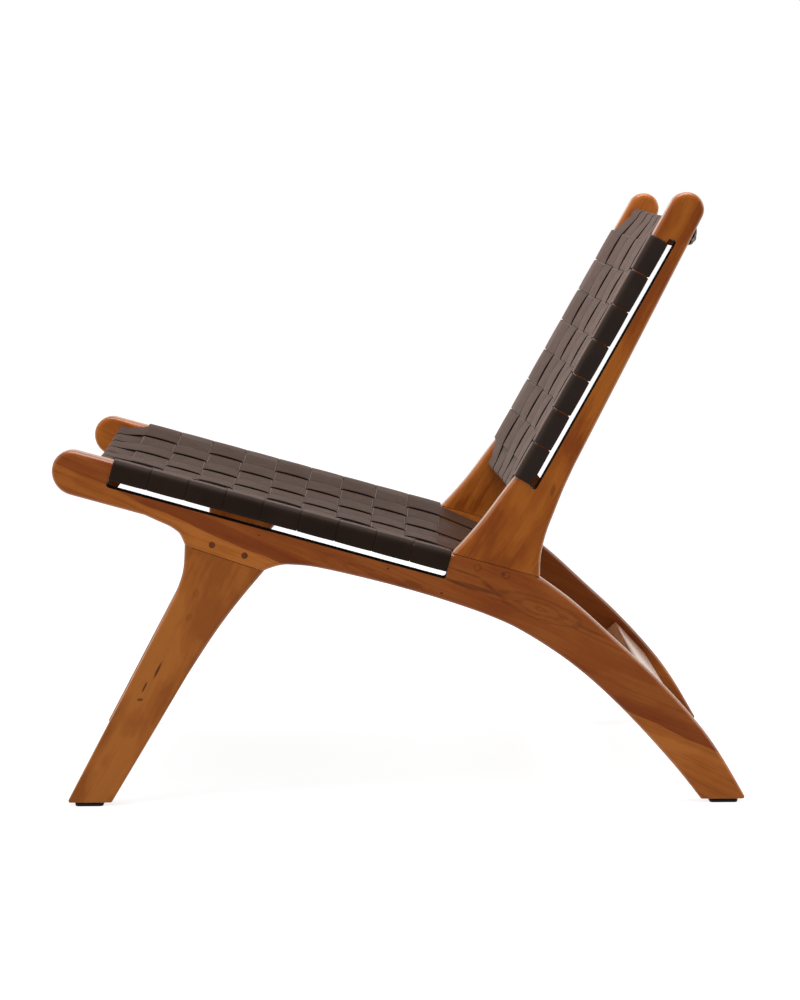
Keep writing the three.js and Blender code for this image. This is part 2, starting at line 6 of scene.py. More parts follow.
import logging
import math
import random
from collections.abc import Callable, Sequence
from dataclasses import dataclass, field, replace
from enum import Enum, IntEnum
from functools import partial, reduce

import bmesh
import bpy
from mathutils import Matrix, Vector
from mathutils.geometry import tessellate_polygon


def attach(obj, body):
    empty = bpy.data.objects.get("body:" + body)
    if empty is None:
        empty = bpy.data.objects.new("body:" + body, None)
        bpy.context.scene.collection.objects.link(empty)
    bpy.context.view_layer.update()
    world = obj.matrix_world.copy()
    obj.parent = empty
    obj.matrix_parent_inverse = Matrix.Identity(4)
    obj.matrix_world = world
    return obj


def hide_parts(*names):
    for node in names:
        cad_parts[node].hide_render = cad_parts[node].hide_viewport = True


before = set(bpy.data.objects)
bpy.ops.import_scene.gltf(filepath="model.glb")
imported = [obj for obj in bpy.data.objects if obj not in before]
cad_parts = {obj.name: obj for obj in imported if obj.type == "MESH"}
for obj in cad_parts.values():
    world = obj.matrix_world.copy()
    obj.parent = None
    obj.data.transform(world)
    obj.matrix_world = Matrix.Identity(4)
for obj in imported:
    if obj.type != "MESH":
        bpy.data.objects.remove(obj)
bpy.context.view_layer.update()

LOG = logging.getLogger("sling_lounge_chair")
MM = 0.001
WELD = MM / 1000
QUARTER = math.pi / 2
BODY = "root"
Pairs = tuple[tuple[float, float], ...]


class Side(Enum):
    """The two side frames, each with its sign along X."""

    LEFT = 1
    RIGHT = -1

    @property
    def label(self) -> str:
        """Name of the side as pieces carry it."""
        return self.name.lower()


class Run(Enum):
    """The two ways that a strap can run in a sling."""

    LENGTHWISE = "lengthwise"
    CROSSWISE = "crosswise"


class Slot(Enum):
    """Material slots of the record."""

    SIDE_FRAME = "side_frame_teak"
    CROSS_MEMBER = "cross_member_teak"
    LENGTHWISE = "lengthwise_leather"
    CROSSWISE = "crosswise_leather"
    GLIDE = "glide_rubber"


class BoardLayer(IntEnum):
    """Materials of a side board, in the order of its slots."""

    FACE = 0
    SLOT_WALL = 1
    GLUE = 2
    WORN_EDGE = 3


class DowelLayer(IntEnum):
    """Materials of the dowel ends, in the order of their slots."""

    WOOD = 0
    GLUE_RING = 1


class StrapLayer(IntEnum):
    """Materials of a strap, in the order of its slots."""

    LEATHER = 0
    PAINTED_SIDE = 1
    # Painted highlight: a light colour on the upper corners of woven strap edges.
    PAINTED_HIGHLIGHT = 2


# Curves in a plane


def catmull_rom(points: Sequence[Vector], steps: int) -> list[Vector]:
    """Follows a smooth curve through some points.

    Args:
        points: Places that the curve passes through, in order.
        steps: Number of even steps over the whole curve.

    Returns:
        The points of the curve, ends included.
    """
    last = len(points) - 1
    made = []
    for step in range(steps + 1):
        place = last * step / steps
        index = min(int(place), last - 1)
        t = place - index
        start, end = points[index], points[index + 1]
        leave = (end - points[max(index - 1, 0)]) / 2
        arrive = (points[min(index + 2, last)] - start) / 2
        cubic = (2 * start - 2 * end + leave + arrive) * t**3
        square = (3 * end - 3 * start - 2 * leave - arrive) * t**2
        made.append(cubic + square + leave * t + start)
    return made


def between(start: Vector, end: Vector, shares: Pairs) -> list[Vector]:
    """Places points between two others.

    Args:
        start: First point.
        end: Last point.
        shares: Share of the way across and of the way down, for each point.

    Returns:
        One point for each pair of shares.
    """
    reach = end - start
    return [Vector((start.x + reach.x * across, start.y + reach.y * down)) for across, down in shares]


def smooth_run(start: Vector, shares: Pairs, end: Vector, steps: int) -> list[Vector]:
    """Follows a smooth curve from one point to another by way of some shares."""
    return catmull_rom([start, *between(start, end, shares), end], steps)


def arc(centre: Vector, radius: float, from_angle: float, to_angle: float, steps: int) -> list[Vector]:
    """Follows an arc.

    Args:
        centre: Centre of the arc.
        radius: Radius of the arc.
        from_angle: Angle of its start, in radians.
        to_angle: Angle of its end.
        steps: Number of steps.

    Returns:
        The points of the arc, ends included.
    """
    angles = [from_angle + (to_angle - from_angle) * step / steps for step in range(steps + 1)]
    return [centre + Vector((math.cos(angle), math.sin(angle))) * radius for angle in angles]


def quadratic(start: Vector, corner: Vector, end: Vector, steps: int) -> list[Vector]:
    """Follows a curve that leaves and arrives in the direction of one corner.

    Args:
        start: First point.
        corner: Point that both ends aim at.
        end: Last point.
        steps: Number of steps.

    Returns:
        The points of the curve, ends included.
    """
    made = []
    for step in range(steps + 1):
        t = step / steps
        made.append(start * (1 - t) ** 2 + corner * 2 * t * (1 - t) + end * t**2)
    return made


def filleted(corners: Sequence[tuple[float, float, float]], step_angle: float = 0.2) -> list[Vector]:
    """Rounds the corners of an open line.

    Args:
        corners: Place of each corner in two numbers, and the radius of its fillet.
        step_angle: Largest turn between two steps of a fillet, in radians.

    Returns:
        The points of the rounded line.
    """
    places = [Vector(corner[:2]) for corner in corners]
    made = [places[0]]
    for index in range(1, len(places) - 1):
        corner, radius = places[index], corners[index][2]
        into = (corner - places[index - 1]).normalized()
        out = (places[index + 1] - corner).normalized()
        turn = math.atan2(into.x * out.y - into.y * out.x, into.dot(out))
        reach = radius * math.tan(abs(turn) / 2)
        start = corner - into * reach
        side = math.copysign(1, turn)
        centre = start + Vector((-into.y, into.x)) * radius * side
        count = max(2, math.ceil(abs(turn) / step_angle))
        for step in range(count + 1):
            spoke = (start - centre).copy()
            spoke.rotate(Matrix.Rotation(turn * step / count, 2))
            made.append(centre + spoke)
    made.append(places[-1])
    return made


def circle(centre: Vector, radius: float, count: int) -> list[Vector]:
    """Evenly spaced points round a circle."""
    return arc(centre, radius, 0, math.tau * (count - 1) / count, count - 1)


def rounded_rectangle(width: float, height: float, radius: float, steps: int = 4) -> list[Vector]:
    """Points round a rectangle with rounded corners, whose middle is at zero.

    Args:
        width: Its size along the first axis.
        height: Its size along the second.
        radius: Radius of its corners.
        steps: Steps of each corner.

    Returns:
        The points, in one turn.
    """
    x, y = width / 2 - radius, height / 2 - radius
    centres = ((x, y), (-x, y), (-x, -y), (x, -y))
    return [
        point
        for index, centre in enumerate(centres)
        for point in arc(Vector(centre), radius, QUARTER * index, QUARTER * (index + 1), steps)
    ]


def normals(line: Sequence[Vector]) -> list[Vector]:
    """Directions square to a line, to its left, at each of its points.

    Args:
        line: The points of the line.

    Returns:
        One direction for each point.
    """
    made = []
    for number in range(len(line)):
        tangent = (line[min(number + 1, len(line) - 1)] - line[max(number - 1, 0)]).normalized()
        made.append(Vector((-tangent.y, tangent.x)))
    return made


def run_length(line: Sequence[Vector]) -> float:
    """Length of a line."""
    return sum((second - first).length for first, second in zip(line, line[1:]))


@dataclass(frozen=True)
class Slant:
    """A straight line in the plane of Y and Z that pieces are measured along and out from."""

    start: Vector
    tilt: float

    def at(self, along: float, out: float) -> Vector:
        """Place at a distance along the line and out from it."""
        direction = Vector((math.cos(self.tilt), math.sin(self.tilt)))
        return self.start + direction * along + Vector((-direction.y, direction.x)) * out

    def space(self, x: float, along: float, out: float) -> Vector:
        """Place in space, in millimetres."""
        flat = self.at(along, out)
        return Vector((x, flat.x, flat.y))


# Meshes


class Shell:
    """Collects the points and faces of one piece, in millimetres."""

    def __init__(self) -> None:
        """Starts with nothing in it."""
        self.points: list[Vector] = []
        self.faces: list[tuple[int, ...]] = []
        self.slots: list[int] = []
        self.smooth: list[bool] = []

    def ring(self, points: Sequence[Vector]) -> list[int]:
        """Adds some points.

        Args:
            points: The points, in order.

        Returns:
            Their numbers.
        """
        first = len(self.points)
        self.points.extend(points)
        return list(range(first, first + len(points)))

    def face(self, corners: Sequence[int], slot: int = 0, smooth: bool = False) -> None:
        """Adds one face.

        Args:
            corners: Numbers of its points.
            slot: Material slot of the face.
            smooth: True for a face that is shaded as part of a curve.
        """
        self.faces.append(tuple(corners))
        self.slots.append(slot)
        self.smooth.append(smooth)

    def loft(self, rings: Sequence[Sequence[int]], slot_at: Callable[[int, int], int] | None = None) -> None:
        """Skins closed rings of equal length.

        Args:
            rings: Numbers of the points of each ring.
            slot_at: Gives the material slot from the numbers of the ring and of the edge.
        """
        for row, (first, second) in enumerate(zip(rings, rings[1:])):
            for edge in range(len(first)):
                after = (edge + 1) % len(first)
                corners = (first[edge], first[after], second[after], second[edge])
                self.face(corners, slot_at(row, edge) if slot_at else 0, True)

    def tube(
        self, rings: Sequence[Sequence[int]], slot_at: Callable[[int, int], int] | None = None, end: int = 0,
    ) -> None:
        """Skins closed rings and closes both ends.

        Args:
            rings: Numbers of the points of each ring.
            slot_at: Gives the material slot from the numbers of the ring and of the edge.
            end: Material slot of the ends.
        """
        self.loft(rings, slot_at)
        self.face(rings[0], end)
        self.face(rings[-1], end)

    def cap(self, loops: Sequence[Sequence[int]], slot: int = 0) -> None:
        """Closes a flat outline with holes.

        Args:
            loops: Numbers of the points of the outline, then of each hole.
            slot: Material slot of the cap.
        """
        numbers = [number for loop in loops for number in loop]
        flat = [[Vector((self.points[n].y, self.points[n].z, 0)) for n in loop] for loop in loops]
        for corners in tessellate_polygon(flat):
            self.face([numbers[corner] for corner in corners], slot)

    def build(self, name: str, finishes: Sequence[bpy.types.Material], sharp: float = 42) -> bpy.types.Object:
        """Makes the piece.

        Args:
            name: Name of the piece.
            finishes: Its materials, in the order of its slots.
            sharp: Angle in degrees over which an edge is shaded sharp.

        Returns:
            The new object, linked to the scene.
        """
        data = bpy.data.meshes.new(name)
        data.from_pydata([point * MM for point in self.points], [], self.faces)
        data.polygons.foreach_set("material_index", self.slots)
        data.polygons.foreach_set("use_smooth", self.smooth)
        for finish in finishes:
            data.materials.append(finish)
        work = bmesh.new()
        work.from_mesh(data)
        bmesh.ops.remove_doubles(work, verts=work.verts, dist=WELD)
        bmesh.ops.dissolve_degenerate(work, edges=work.edges, dist=WELD)
        bmesh.ops.recalc_face_normals(work, faces=work.faces)
        work.to_mesh(data)
        work.free()
        data.set_sharp_from_angle(angle=math.radians(sharp))
        piece = bpy.data.objects.new(name, data)
        bpy.context.scene.collection.objects.link(piece)
        return piece


def enlist(piece: bpy.types.Object, slot: Slot | None, *nodes: str) -> bpy.types.Object:
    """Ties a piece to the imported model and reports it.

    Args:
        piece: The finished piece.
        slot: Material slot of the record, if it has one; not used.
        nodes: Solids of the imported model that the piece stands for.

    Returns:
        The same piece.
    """
    if nodes:
        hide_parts(*nodes)
    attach(piece, BODY)
    LOG.info("%s: %d faces", piece.name, len(piece.data.polygons))
    return piece


# Materials


def paint(red: int, green: int, blue: int) -> tuple[float, float, float, float]:
    """Turns a colour as a screen shows it into the linear one that a shader takes.

    Args:
        red: Red from 0 to 255.
        green: Green.
        blue: Blue.

    Returns:
        Linear red, green and blue, and full cover.
    """

    def linear(value: int) -> float:
        """Linear share of one channel."""
        share = value / 255
        return share / 12.92 if share <= 0.04045 else ((share + 0.055) / 1.055) ** 2.4

    return linear(red), linear(green), linear(blue), 1.0


class Nodes:
    """Adds nodes to one tree and joins them."""

    def __init__(self, tree: bpy.types.NodeTree) -> None:
        """Works on the given tree."""
        self.tree = tree

    def add(self, kind: str, inputs: dict | None = None, **settings: object) -> bpy.types.Node:
        """Adds a node.

        Args:
            kind: Type of the node.
            inputs: For each input, by name or number, a value or the output that feeds it.
            settings: Properties of the node.

        Returns:
            The new node.
        """
        node = self.tree.nodes.new(kind)
        for key, value in settings.items():
            setattr(node, key, value)
        self.feed(node, inputs or {})
        return node

    def feed(self, node: bpy.types.Node, inputs: dict) -> None:
        """Sets or links the inputs of a node.

        Args:
            node: The node.
            inputs: For each input, by name or number, a value or the output that feeds it.
        """
        for key, value in inputs.items():
            if isinstance(value, bpy.types.NodeSocket):
                self.tree.links.new(value, node.inputs[key])
            else:
                node.inputs[key].default_value = value

    def place(self, rotation: tuple[float, float, float] = (0, 0, 0)) -> bpy.types.NodeSocket:
        """Place on the piece, in millimetres, after a turn."""
        inputs = {"Vector": self.add("ShaderNodeTexCoord").outputs["Object"], "Rotation": rotation}
        return self.add("ShaderNodeMapping", {**inputs, "Scale": (1 / MM, 1 / MM, 1 / MM)}).outputs[0]

    def bump(self, height: bpy.types.NodeSocket, strength: float, distance: float) -> bpy.types.NodeSocket:
        """Normal of a fine relief, whose distance is in millimetres."""
        inputs = {"Height": height, "Strength": strength, "Distance": distance * MM}
        return self.add("ShaderNodeBump", inputs).outputs[0]

    def math(self, operation: str, *values: object) -> bpy.types.NodeSocket:
        """Result of a sum on numbers."""
        return self.add("ShaderNodeMath", dict(enumerate(values)), operation=operation).outputs[0]

    def weigh(self, *parts: tuple[object, float]) -> bpy.types.NodeSocket:
        """Sum of some values, each times its share."""
        return reduce(partial(self.math, "ADD"), [self.math("MULTIPLY", *part) for part in parts])

    def centred(self, value: object, width: float) -> bpy.types.NodeSocket:
        """Value around zero, of a given width, from one around a half."""
        return self.math("MULTIPLY", self.math("SUBTRACT", value, 0.5), width)

    def vector(self, operation: str, *values: object) -> bpy.types.NodeSocket:
        """Result of a sum on vectors."""
        return self.add("ShaderNodeVectorMath", dict(enumerate(values)), operation=operation).outputs[0]

    def eased(
        self, value: object, low: object, high: object, start: float = 0, end: float = 1,
    ) -> bpy.types.NodeSocket:
        """Eases a value between two limits.

        Args:
            value: The value.
            low: Value that gives start.
            high: Value that gives end.
            start: Result at the low limit.
            end: Result at the high limit.

        Returns:
            The output with the eased value.
        """
        names = ("Value", "From Min", "From Max", "To Min", "To Max")
        inputs = dict(zip(names, (value, low, high, start, end)))
        return self.add("ShaderNodeMapRange", inputs, interpolation_type="SMOOTHSTEP").outputs[0]

    def noise(self, vector: object, scale: object, detail: float, seed: object) -> bpy.types.NodeSocket:
        """Cloudy pattern.

        Args:
            vector: Where it is read.
            scale: Stretch of the pattern, one number for each direction.
            detail: Number of finer layers.
            seed: Picks one pattern.

        Returns:
            The output with a value around a half.
        """
        stretched = self.vector("MULTIPLY", vector, scale)
        inputs = {"Vector": stretched, "W": seed, "Scale": 1.0, "Detail": detail}
        return self.add("ShaderNodeTexNoise", inputs, noise_dimensions="4D").outputs[0]

    def mix(self, share: object, first: object, second: object) -> bpy.types.NodeSocket:
        """Blend of two colours."""
        return self.add("ShaderNodeMix", {0: share, 6: first, 7: second}, data_type="RGBA").outputs[2]

    def group(self, group: bpy.types.NodeTree, inputs: dict) -> bpy.types.Node:
        """Places a node group."""
        return self.add("ShaderNodeGroup", inputs, node_tree=group)


class Effect:
    """A node group with named inputs and outputs."""

    KINDS = {"value": "NodeSocketFloat", "vector": "NodeSocketVector", "colour": "NodeSocketColor"}

    def __init__(self, name: str, inputs: dict[str, str], outputs: dict[str, str]) -> None:
        """Starts a group.

        Args:
            name: Name of the group.
            inputs: Kind of each input by its name.
            outputs: Kind of each output by its name.
        """
        self.tree = bpy.data.node_groups.new(name, "ShaderNodeTree")
        for way, sockets in (("INPUT", inputs), ("OUTPUT", outputs)):
            for label, kind in sockets.items():
                self.tree.interface.new_socket(name=label, in_out=way, socket_type=self.KINDS[kind])
        self.nodes = Nodes(self.tree)
        self.given = self.tree.nodes.new("NodeGroupInput").outputs
        self.result = self.tree.nodes.new("NodeGroupOutput").inputs

    def send(self, **results: bpy.types.NodeSocket) -> bpy.types.NodeTree:
        """Feeds the outputs.

        Args:
            results: What feeds each output, by its name in lower case.

        Returns:
            The finished group.
        """
        for label, socket in results.items():
            self.tree.links.new(socket, self.result[label.capitalize()])
        return self.tree


def teak_figure() -> bpy.types.NodeTree:
    """Builds the figure of teak, read through the board, along the grain and across it.

    Returns:
        A group that gives colour, roughness and height.
    """
    colours = {"Light": "colour", "Middle": "colour", "Dark": "colour", "Heart_and_shade": "colour"}
    effect = Effect(
        "teak_figure",
        {"Place": "vector", "Seed": "value", "Zone": "value", "Streak": "value", "Cloud": "value", **colours},
        {"Colour": "colour", "Roughness": "value", "Height": "value"},
    )
    n, given = effect.nodes, effect.given
    seed = given["Seed"]
    drift = n.noise(given["Place"], (0.01, 0.0045, 0.011), detail=2, seed=seed)
    shift = n.add("ShaderNodeCombineXYZ", {2: n.centred(drift, width=30)}).outputs[0]
    place = n.vector("ADD", given["Place"], shift)
    broad = n.noise(place, (0.03, 0.0035, 0.07), detail=3, seed=seed)
    lines = n.noise(place, (0.09, 0.006, 0.33), detail=3, seed=seed)
    fibre = n.noise(place, (0.7, 0.03, 1.3), detail=2, seed=seed)
    streaks = n.eased(n.noise(place, (0.05, 0.004, 0.5), detail=2, seed=seed), 0.56, 0.66)
    pores = n.eased(n.noise(place, (1.5, 0.07, 2.7), detail=1, seed=seed), 0.6, 0.72)
    mottle = n.noise(place, (0.022, 0.012, 0.03), detail=3, seed=seed)
    tone = n.weigh((broad, 0.55), (lines, 0.33), (fibre, 0.12))
    tone = n.add("ShaderNodeMix", {0: given["Cloud"], 2: tone, 3: mottle}).outputs[0]
    colour = n.mix(n.eased(tone, 0.5, 0.57), given["Middle"], given["Dark"])
    colour = n.mix(n.eased(tone, 0.5, 0.43), colour, given["Light"])
    # Zones darken towards the heartwood brown: heartwood, and painted shade where a band stands for shade.
    colour = n.mix(n.math("MULTIPLY", given["Zone"], 0.7), colour, given["Heart_and_shade"])
    colour = n.mix(n.math("MULTIPLY", streaks, given["Streak"]), colour, given["Heart_and_shade"])
    colour = n.mix(n.math("MULTIPLY", pores, 0.25), colour, given["Heart_and_shade"])
    rough = n.math("ADD", n.weigh((fibre, 0.16), (pores, 0.15)), 0.27)
    height = n.math("SUBTRACT", n.math("MULTIPLY", fibre, 0.5), pores)
    return effect.send(colour=colour, roughness=rough, height=height)


def zone_band() -> bpy.types.NodeTree:
    """Builds a soft-edged band along the grain.

    Returns:
        A group that gives a mask.
    """
    names = ("Low", "High", "Lower", "Upper", "Start", "End")
    effect = Effect("zone_band", {"Place": "vector", **{name: "value" for name in names}}, {"Mask": "value"})
    n, given = effect.nodes, effect.given
    soft_end = 14
    drift = n.noise(given["Place"], (0.01, 0.011, 0.02), detail=2, seed=3.0)
    parts = n.add("ShaderNodeSeparateXYZ", {0: given["Place"]}).outputs
    across = n.math("ADD", parts[2], n.centred(drift, width=16))
    lower, upper = given["Lower"], given["Upper"]
    rise = n.eased(across, n.math("SUBTRACT", given["Low"], lower), n.math("ADD", given["Low"], lower))
    fall = n.eased(across, n.math("ADD", given["High"], upper), n.math("SUBTRACT", given["High"], upper))
    start, end = given["Start"], given["End"]
    begin = n.eased(parts[1], n.math("SUBTRACT", start, soft_end), n.math("ADD", start, soft_end))
    stop = n.eased(parts[1], n.math("ADD", end, soft_end), n.math("SUBTRACT", end, soft_end))
    mask = n.math("MULTIPLY", n.math("MULTIPLY", rise, fall), n.math("MULTIPLY", begin, stop))
    return effect.send(mask=mask)


def spot_effect(name: str, ragged: float, **more: str) -> tuple[Effect, bpy.types.NodeSocket]:
    """Starts a group whose figure spreads from a middle.

    Args:
        name: Name of the group.
        ragged: How ragged its outline is.
        more: Kinds of its other inputs by their names.

    Returns:
        The group, and the distance from the middle as a share of the reach.
    """
    inputs = {"Place": "vector", "Middle": "vector", "Turn": "value", "Reach": "vector", **more}
    effect = Effect(name, inputs, {"Mask": "value"})
    n, given = effect.nodes, effect.given
    drift = n.noise(given["Place"], (0.1, 0.12, 0.3), detail=2, seed=5.0)
    away = n.vector("SUBTRACT", given["Place"], given["Middle"])
    turned = {"Vector": away, "Angle": given["Turn"]}
    away = n.add("ShaderNodeVectorRotate", turned, rotation_type="X_AXIS").outputs[0]
    away = n.vector("DIVIDE", away, given["Reach"])
    distance = n.add("ShaderNodeVectorMath", {0: away}, operation="LENGTH").outputs["Value"]
    return effect, n.math("ADD", distance, n.centred(drift, ragged))


def blemish() -> bpy.types.NodeTree:
    """Builds one long or round spot in the wood.

    Returns:
        A group that gives a mask.
    """
    effect, distance = spot_effect("blemish", 0.5)
    return effect.send(mask=effect.nodes.eased(distance, 1.0, 0.45))


def growth_loops() -> bpy.types.NodeTree:
    """Builds nested loops, as where a board cuts through the tip of the growth layers.

    Returns:
        A group that gives a mask.
    """
    effect, distance = spot_effect("growth_loops", 0.3, Count="value")
    n = effect.nodes
    wave = n.math("SINE", n.math("MULTIPLY", n.math("MULTIPLY", distance, effect.given["Count"]), math.tau))
    return effect.send(mask=n.math("MULTIPLY", n.eased(wave, -0.2, 1.0), n.eased(distance, 1.0, 0.7)))


def leather_grain() -> bpy.types.NodeTree:
    """Builds the clouding and the fine grain of saddle leather.

    Returns:
        A group that gives a clouding mask, a roughness and a height.
    """
    effect = Effect(
        "leather_grain",
        {"Place": "vector", "Seed": "value"},
        {"Clouds": "value", "Roughness": "value", "Height": "value"},
    )
    n, given = effect.nodes, effect.given
    clouds = n.noise(given["Place"], (0.02, 0.02, 0.02), detail=4, seed=given["Seed"])
    scuffs = n.noise(given["Place"], (0.12, 0.05, 0.12), detail=3, seed=given["Seed"])
    pebble = n.noise(given["Place"], (0.9, 0.9, 0.9), detail=3, seed=given["Seed"])
    rough = n.math("ADD", n.math("MULTIPLY", scuffs, 0.2), 0.36)
    height = n.math("ADD", n.math("MULTIPLY", pebble, 0.6), scuffs)
    return effect.send(clouds=n.eased(clouds, 0.35, 0.65), roughness=rough, height=height)


@dataclass(frozen=True)
class Effects:
    """The node groups that materials share."""

    teak: bpy.types.NodeTree = field(default_factory=teak_figure)
    band: bpy.types.NodeTree = field(default_factory=zone_band)
    spot: bpy.types.NodeTree = field(default_factory=blemish)
    loops: bpy.types.NodeTree = field(default_factory=growth_loops)
    leather: bpy.types.NodeTree = field(default_factory=leather_grain)


@dataclass(frozen=True)
class Finish:
    """What a piece is dressed in."""

    name: str

    def surface(self, n: Nodes, effects: Effects) -> dict:
        """What feeds the main shader, by the names of its inputs."""
        raise NotImplementedError

    def material(self, effects: Effects) -> bpy.types.Material:
        """Makes the material.

        Args:
            effects: The shared node groups.

        Returns:
            The finished material.
        """
        material = bpy.data.materials.new(self.name)
        material.use_nodes = True
        n = Nodes(material.node_tree)
        n.feed(n.tree.nodes["Principled BSDF"], self.surface(n, effects))
        return material


@dataclass(frozen=True)
class Band:
    """A darker zone along the grain: heartwood, and on the right rear leg painted shade.

    Its sizes are the ends of its low side, its width, its strength and how soft its two sides are.
    """

    start: tuple[float, float]
    end: tuple[float, float]
    width: float
    strength: float = 1.0
    lower: float = 0.6
    upper: float = 12.0


@dataclass(frozen=True)
class Spot:
    """A knot, a slit or nested loops: its middle in the plane of Y and Z, its half sizes and its turn."""

    middle: tuple[float, float]
    along: float
    across: float
    strength: float = 0.8
    turn: float = 0.0
    loops: float = 0.0


@dataclass(frozen=True)
class Tones:
    """The browns of a board, from its palest wood to its heartwood, whose brown also gives painted shade."""

    light: tuple[int, int, int] = (150, 84, 28)
    middle: tuple[int, int, int] = (138, 73, 22)
    dark: tuple[int, int, int] = (122, 60, 18)
    heart_and_shade: tuple[int, int, int] = (98, 42, 12)


@dataclass(frozen=True)
class Teak(Finish):
    """Oiled teak of one board, with its grain in the plane of Y and Z at an angle up from +Y."""

    grain: float
    seed: float
    tones: Tones = Tones()
    streak: float = 0.15
    cloud: float = 0.4
    gloss: float = 0.03
    coat: float = 0.07
    sheen: float = 0.35
    bands: tuple[Band, ...] = ()
    spots: tuple[Spot, ...] = ()
    spot_tone: tuple[int, int, int] = (52, 24, 12)

    @property
    def rotation(self) -> tuple[float, float, float]:
        """Turn that lays the grain along the second axis."""
        return (-math.radians(self.grain), 0, 0)

    def worn(self) -> "Teak":
        """Finish of the same board on its edges, which hands and cloths have polished."""
        return replace(self, name=f"{self.name}_edge", gloss=0.2, coat=0.35, sheen=0.9)

    def in_grain(self, place: tuple[float, float]) -> tuple[float, float]:
        """Turns a place into the grain.

        Args:
            place: Its distances along Y and Z.

        Returns:
            Its distances along and across the grain.
        """
        turn = math.radians(self.grain)
        y, z = place
        return y * math.cos(turn) + z * math.sin(turn), z * math.cos(turn) - y * math.sin(turn)

    def zone(self, n: Nodes, effects: Effects, place: bpy.types.NodeSocket) -> bpy.types.NodeSocket | float:
        """Builds the mask of the board's darker zones.

        Args:
            n: Nodes of the material.
            effects: The shared node groups.
            place: Place on the board, turned into the grain.

        Returns:
            The output with the mask, or 0 without any zone.
        """
        masks = []
        for band in self.bands:
            start, end = self.in_grain(band.start), self.in_grain(band.end)
            low = (start[1] + end[1]) / 2
            limits = {"Low": low, "High": low + band.width, "Lower": band.lower, "Upper": band.upper}
            limits |= {"Place": place, "Start": start[0], "End": end[0]}
            masks.append(n.math("MULTIPLY", n.group(effects.band, limits).outputs[0], band.strength))
        return reduce(partial(n.math, "MAXIMUM"), masks) if masks else 0.0

    def surface(self, n: Nodes, effects: Effects) -> dict:
        """Builds the board's figure, its spots and its fine relief.

        Args:
            n: Nodes of the material.
            effects: The shared node groups.

        Returns:
            What feeds the main shader, by the names of its inputs.
        """
        place = n.place(self.rotation)
        colours = {key.capitalize(): paint(*colour) for key, colour in vars(self.tones).items()}
        figure = {"Place": place, "Seed": self.seed, "Streak": self.streak, "Cloud": self.cloud, **colours}
        teak = n.group(effects.teak, {**figure, "Zone": self.zone(n, effects, place)}).outputs
        colour = teak["Colour"]
        for spot in self.spots:
            parts = n.add("ShaderNodeSeparateXYZ", {0: place}).outputs
            flat = n.add("ShaderNodeCombineXYZ", {1: parts[1], 2: parts[2]}).outputs[0]
            inputs = {"Place": flat, "Middle": (0, *self.in_grain(spot.middle))}
            inputs |= {"Turn": -math.radians(spot.turn), "Reach": (1.0, spot.along, spot.across)}
            if spot.loops:
                mask = n.group(effects.loops, {**inputs, "Count": spot.loops}).outputs[0]
            else:
                mask = n.group(effects.spot, inputs).outputs[0]
            colour = n.mix(n.math("MULTIPLY", mask, spot.strength), colour, paint(*self.spot_tone))
        return {
            "Base Color": colour, "Roughness": teak["Roughness"],
            "Normal": n.bump(teak["Height"], strength=0.35, distance=0.3),
            "Specular IOR Level": self.gloss, "Coat Weight": self.coat, "Coat Roughness": 0.12,
            "Sheen Weight": self.sheen, "Sheen Roughness": 0.25, "Sheen Tint": (1, 0.72, 0.48, 1),
        }


@dataclass(frozen=True)
class AcrossTeak(Teak):
    """Oiled teak whose grain runs across the chair."""

    @property
    def rotation(self) -> tuple[float, float, float]:
        """Turn that lays the grain along the second axis."""
        return (0, 0, QUARTER)


@dataclass(frozen=True)
class Leather(Finish):
    """Dark saddle leather of the straps."""

    seed: float
    gloss: float
    deep: tuple[int, int, int] = (24, 16, 11)
    worn: tuple[int, int, int] = (30, 21, 16)

    def surface(self, n: Nodes, effects: Effects) -> dict:
        """Builds the clouding, the sheen and the grain.

        Args:
            n: Nodes of the material.
            effects: The shared node groups.

        Returns:
            What feeds the main shader, by the names of its inputs.
        """
        grain = n.group(effects.leather, {"Place": n.place(), "Seed": self.seed}).outputs
        return {
            "Base Color": n.mix(grain["Clouds"], paint(*self.deep), paint(*self.worn)),
            "Roughness": grain["Roughness"], "Specular IOR Level": self.gloss,
            "Normal": n.bump(grain["Height"], strength=0.3, distance=0.4),
            "Sheen Weight": 0.15, "Sheen Roughness": 0.5, "Sheen Tint": (0.9, 0.45, 0.3, 1),
        }


@dataclass(frozen=True)
class Plain(Finish):
    """An even finish, slightly clouded, such as paint, a dark slot wall, rubber or metal."""

    colour: tuple[int, int, int]
    worn: tuple[int, int, int]
    rough: float
    metal: float = 0.0
    gloss: float = 0.5
    seed: float = 9.0

    def surface(self, n: Nodes, effects: Effects) -> dict:
        """Builds the clouding.

        Args:
            n: Nodes of the material.
            effects: The shared node groups.

        Returns:
            What feeds the main shader, by the names of its inputs.
        """
        clouds = n.group(effects.leather, {"Place": n.place(), "Seed": self.seed}).outputs["Clouds"]
        colour = n.mix(clouds, paint(*self.colour), paint(*self.worn))
        return {
            "Base Color": colour, "Metallic": self.metal,
            "Roughness": self.rough, "Specular IOR Level": self.gloss,
        }


# Side frames

FOOT_EDGE_SHARE = 0.3
NEAR_FOOT_SHARES = (0.8, 0.5)
FOOT_STEP_ANGLE = 0.5
NEARLY_STRAIGHT = 0.08


@dataclass(frozen=True)
class Corner:
    """A point of an outline, and how much of the edge rounding the edges before and after it get."""

    place: Vector
    before: float = 1.0
    after: float = 1.0


def rounded(points: Sequence[Vector], share: float = 1.0) -> list[Corner]:
    """Gives all points of a stretch the same share of the rounding."""
    return [Corner(point, share, share) for point in points]


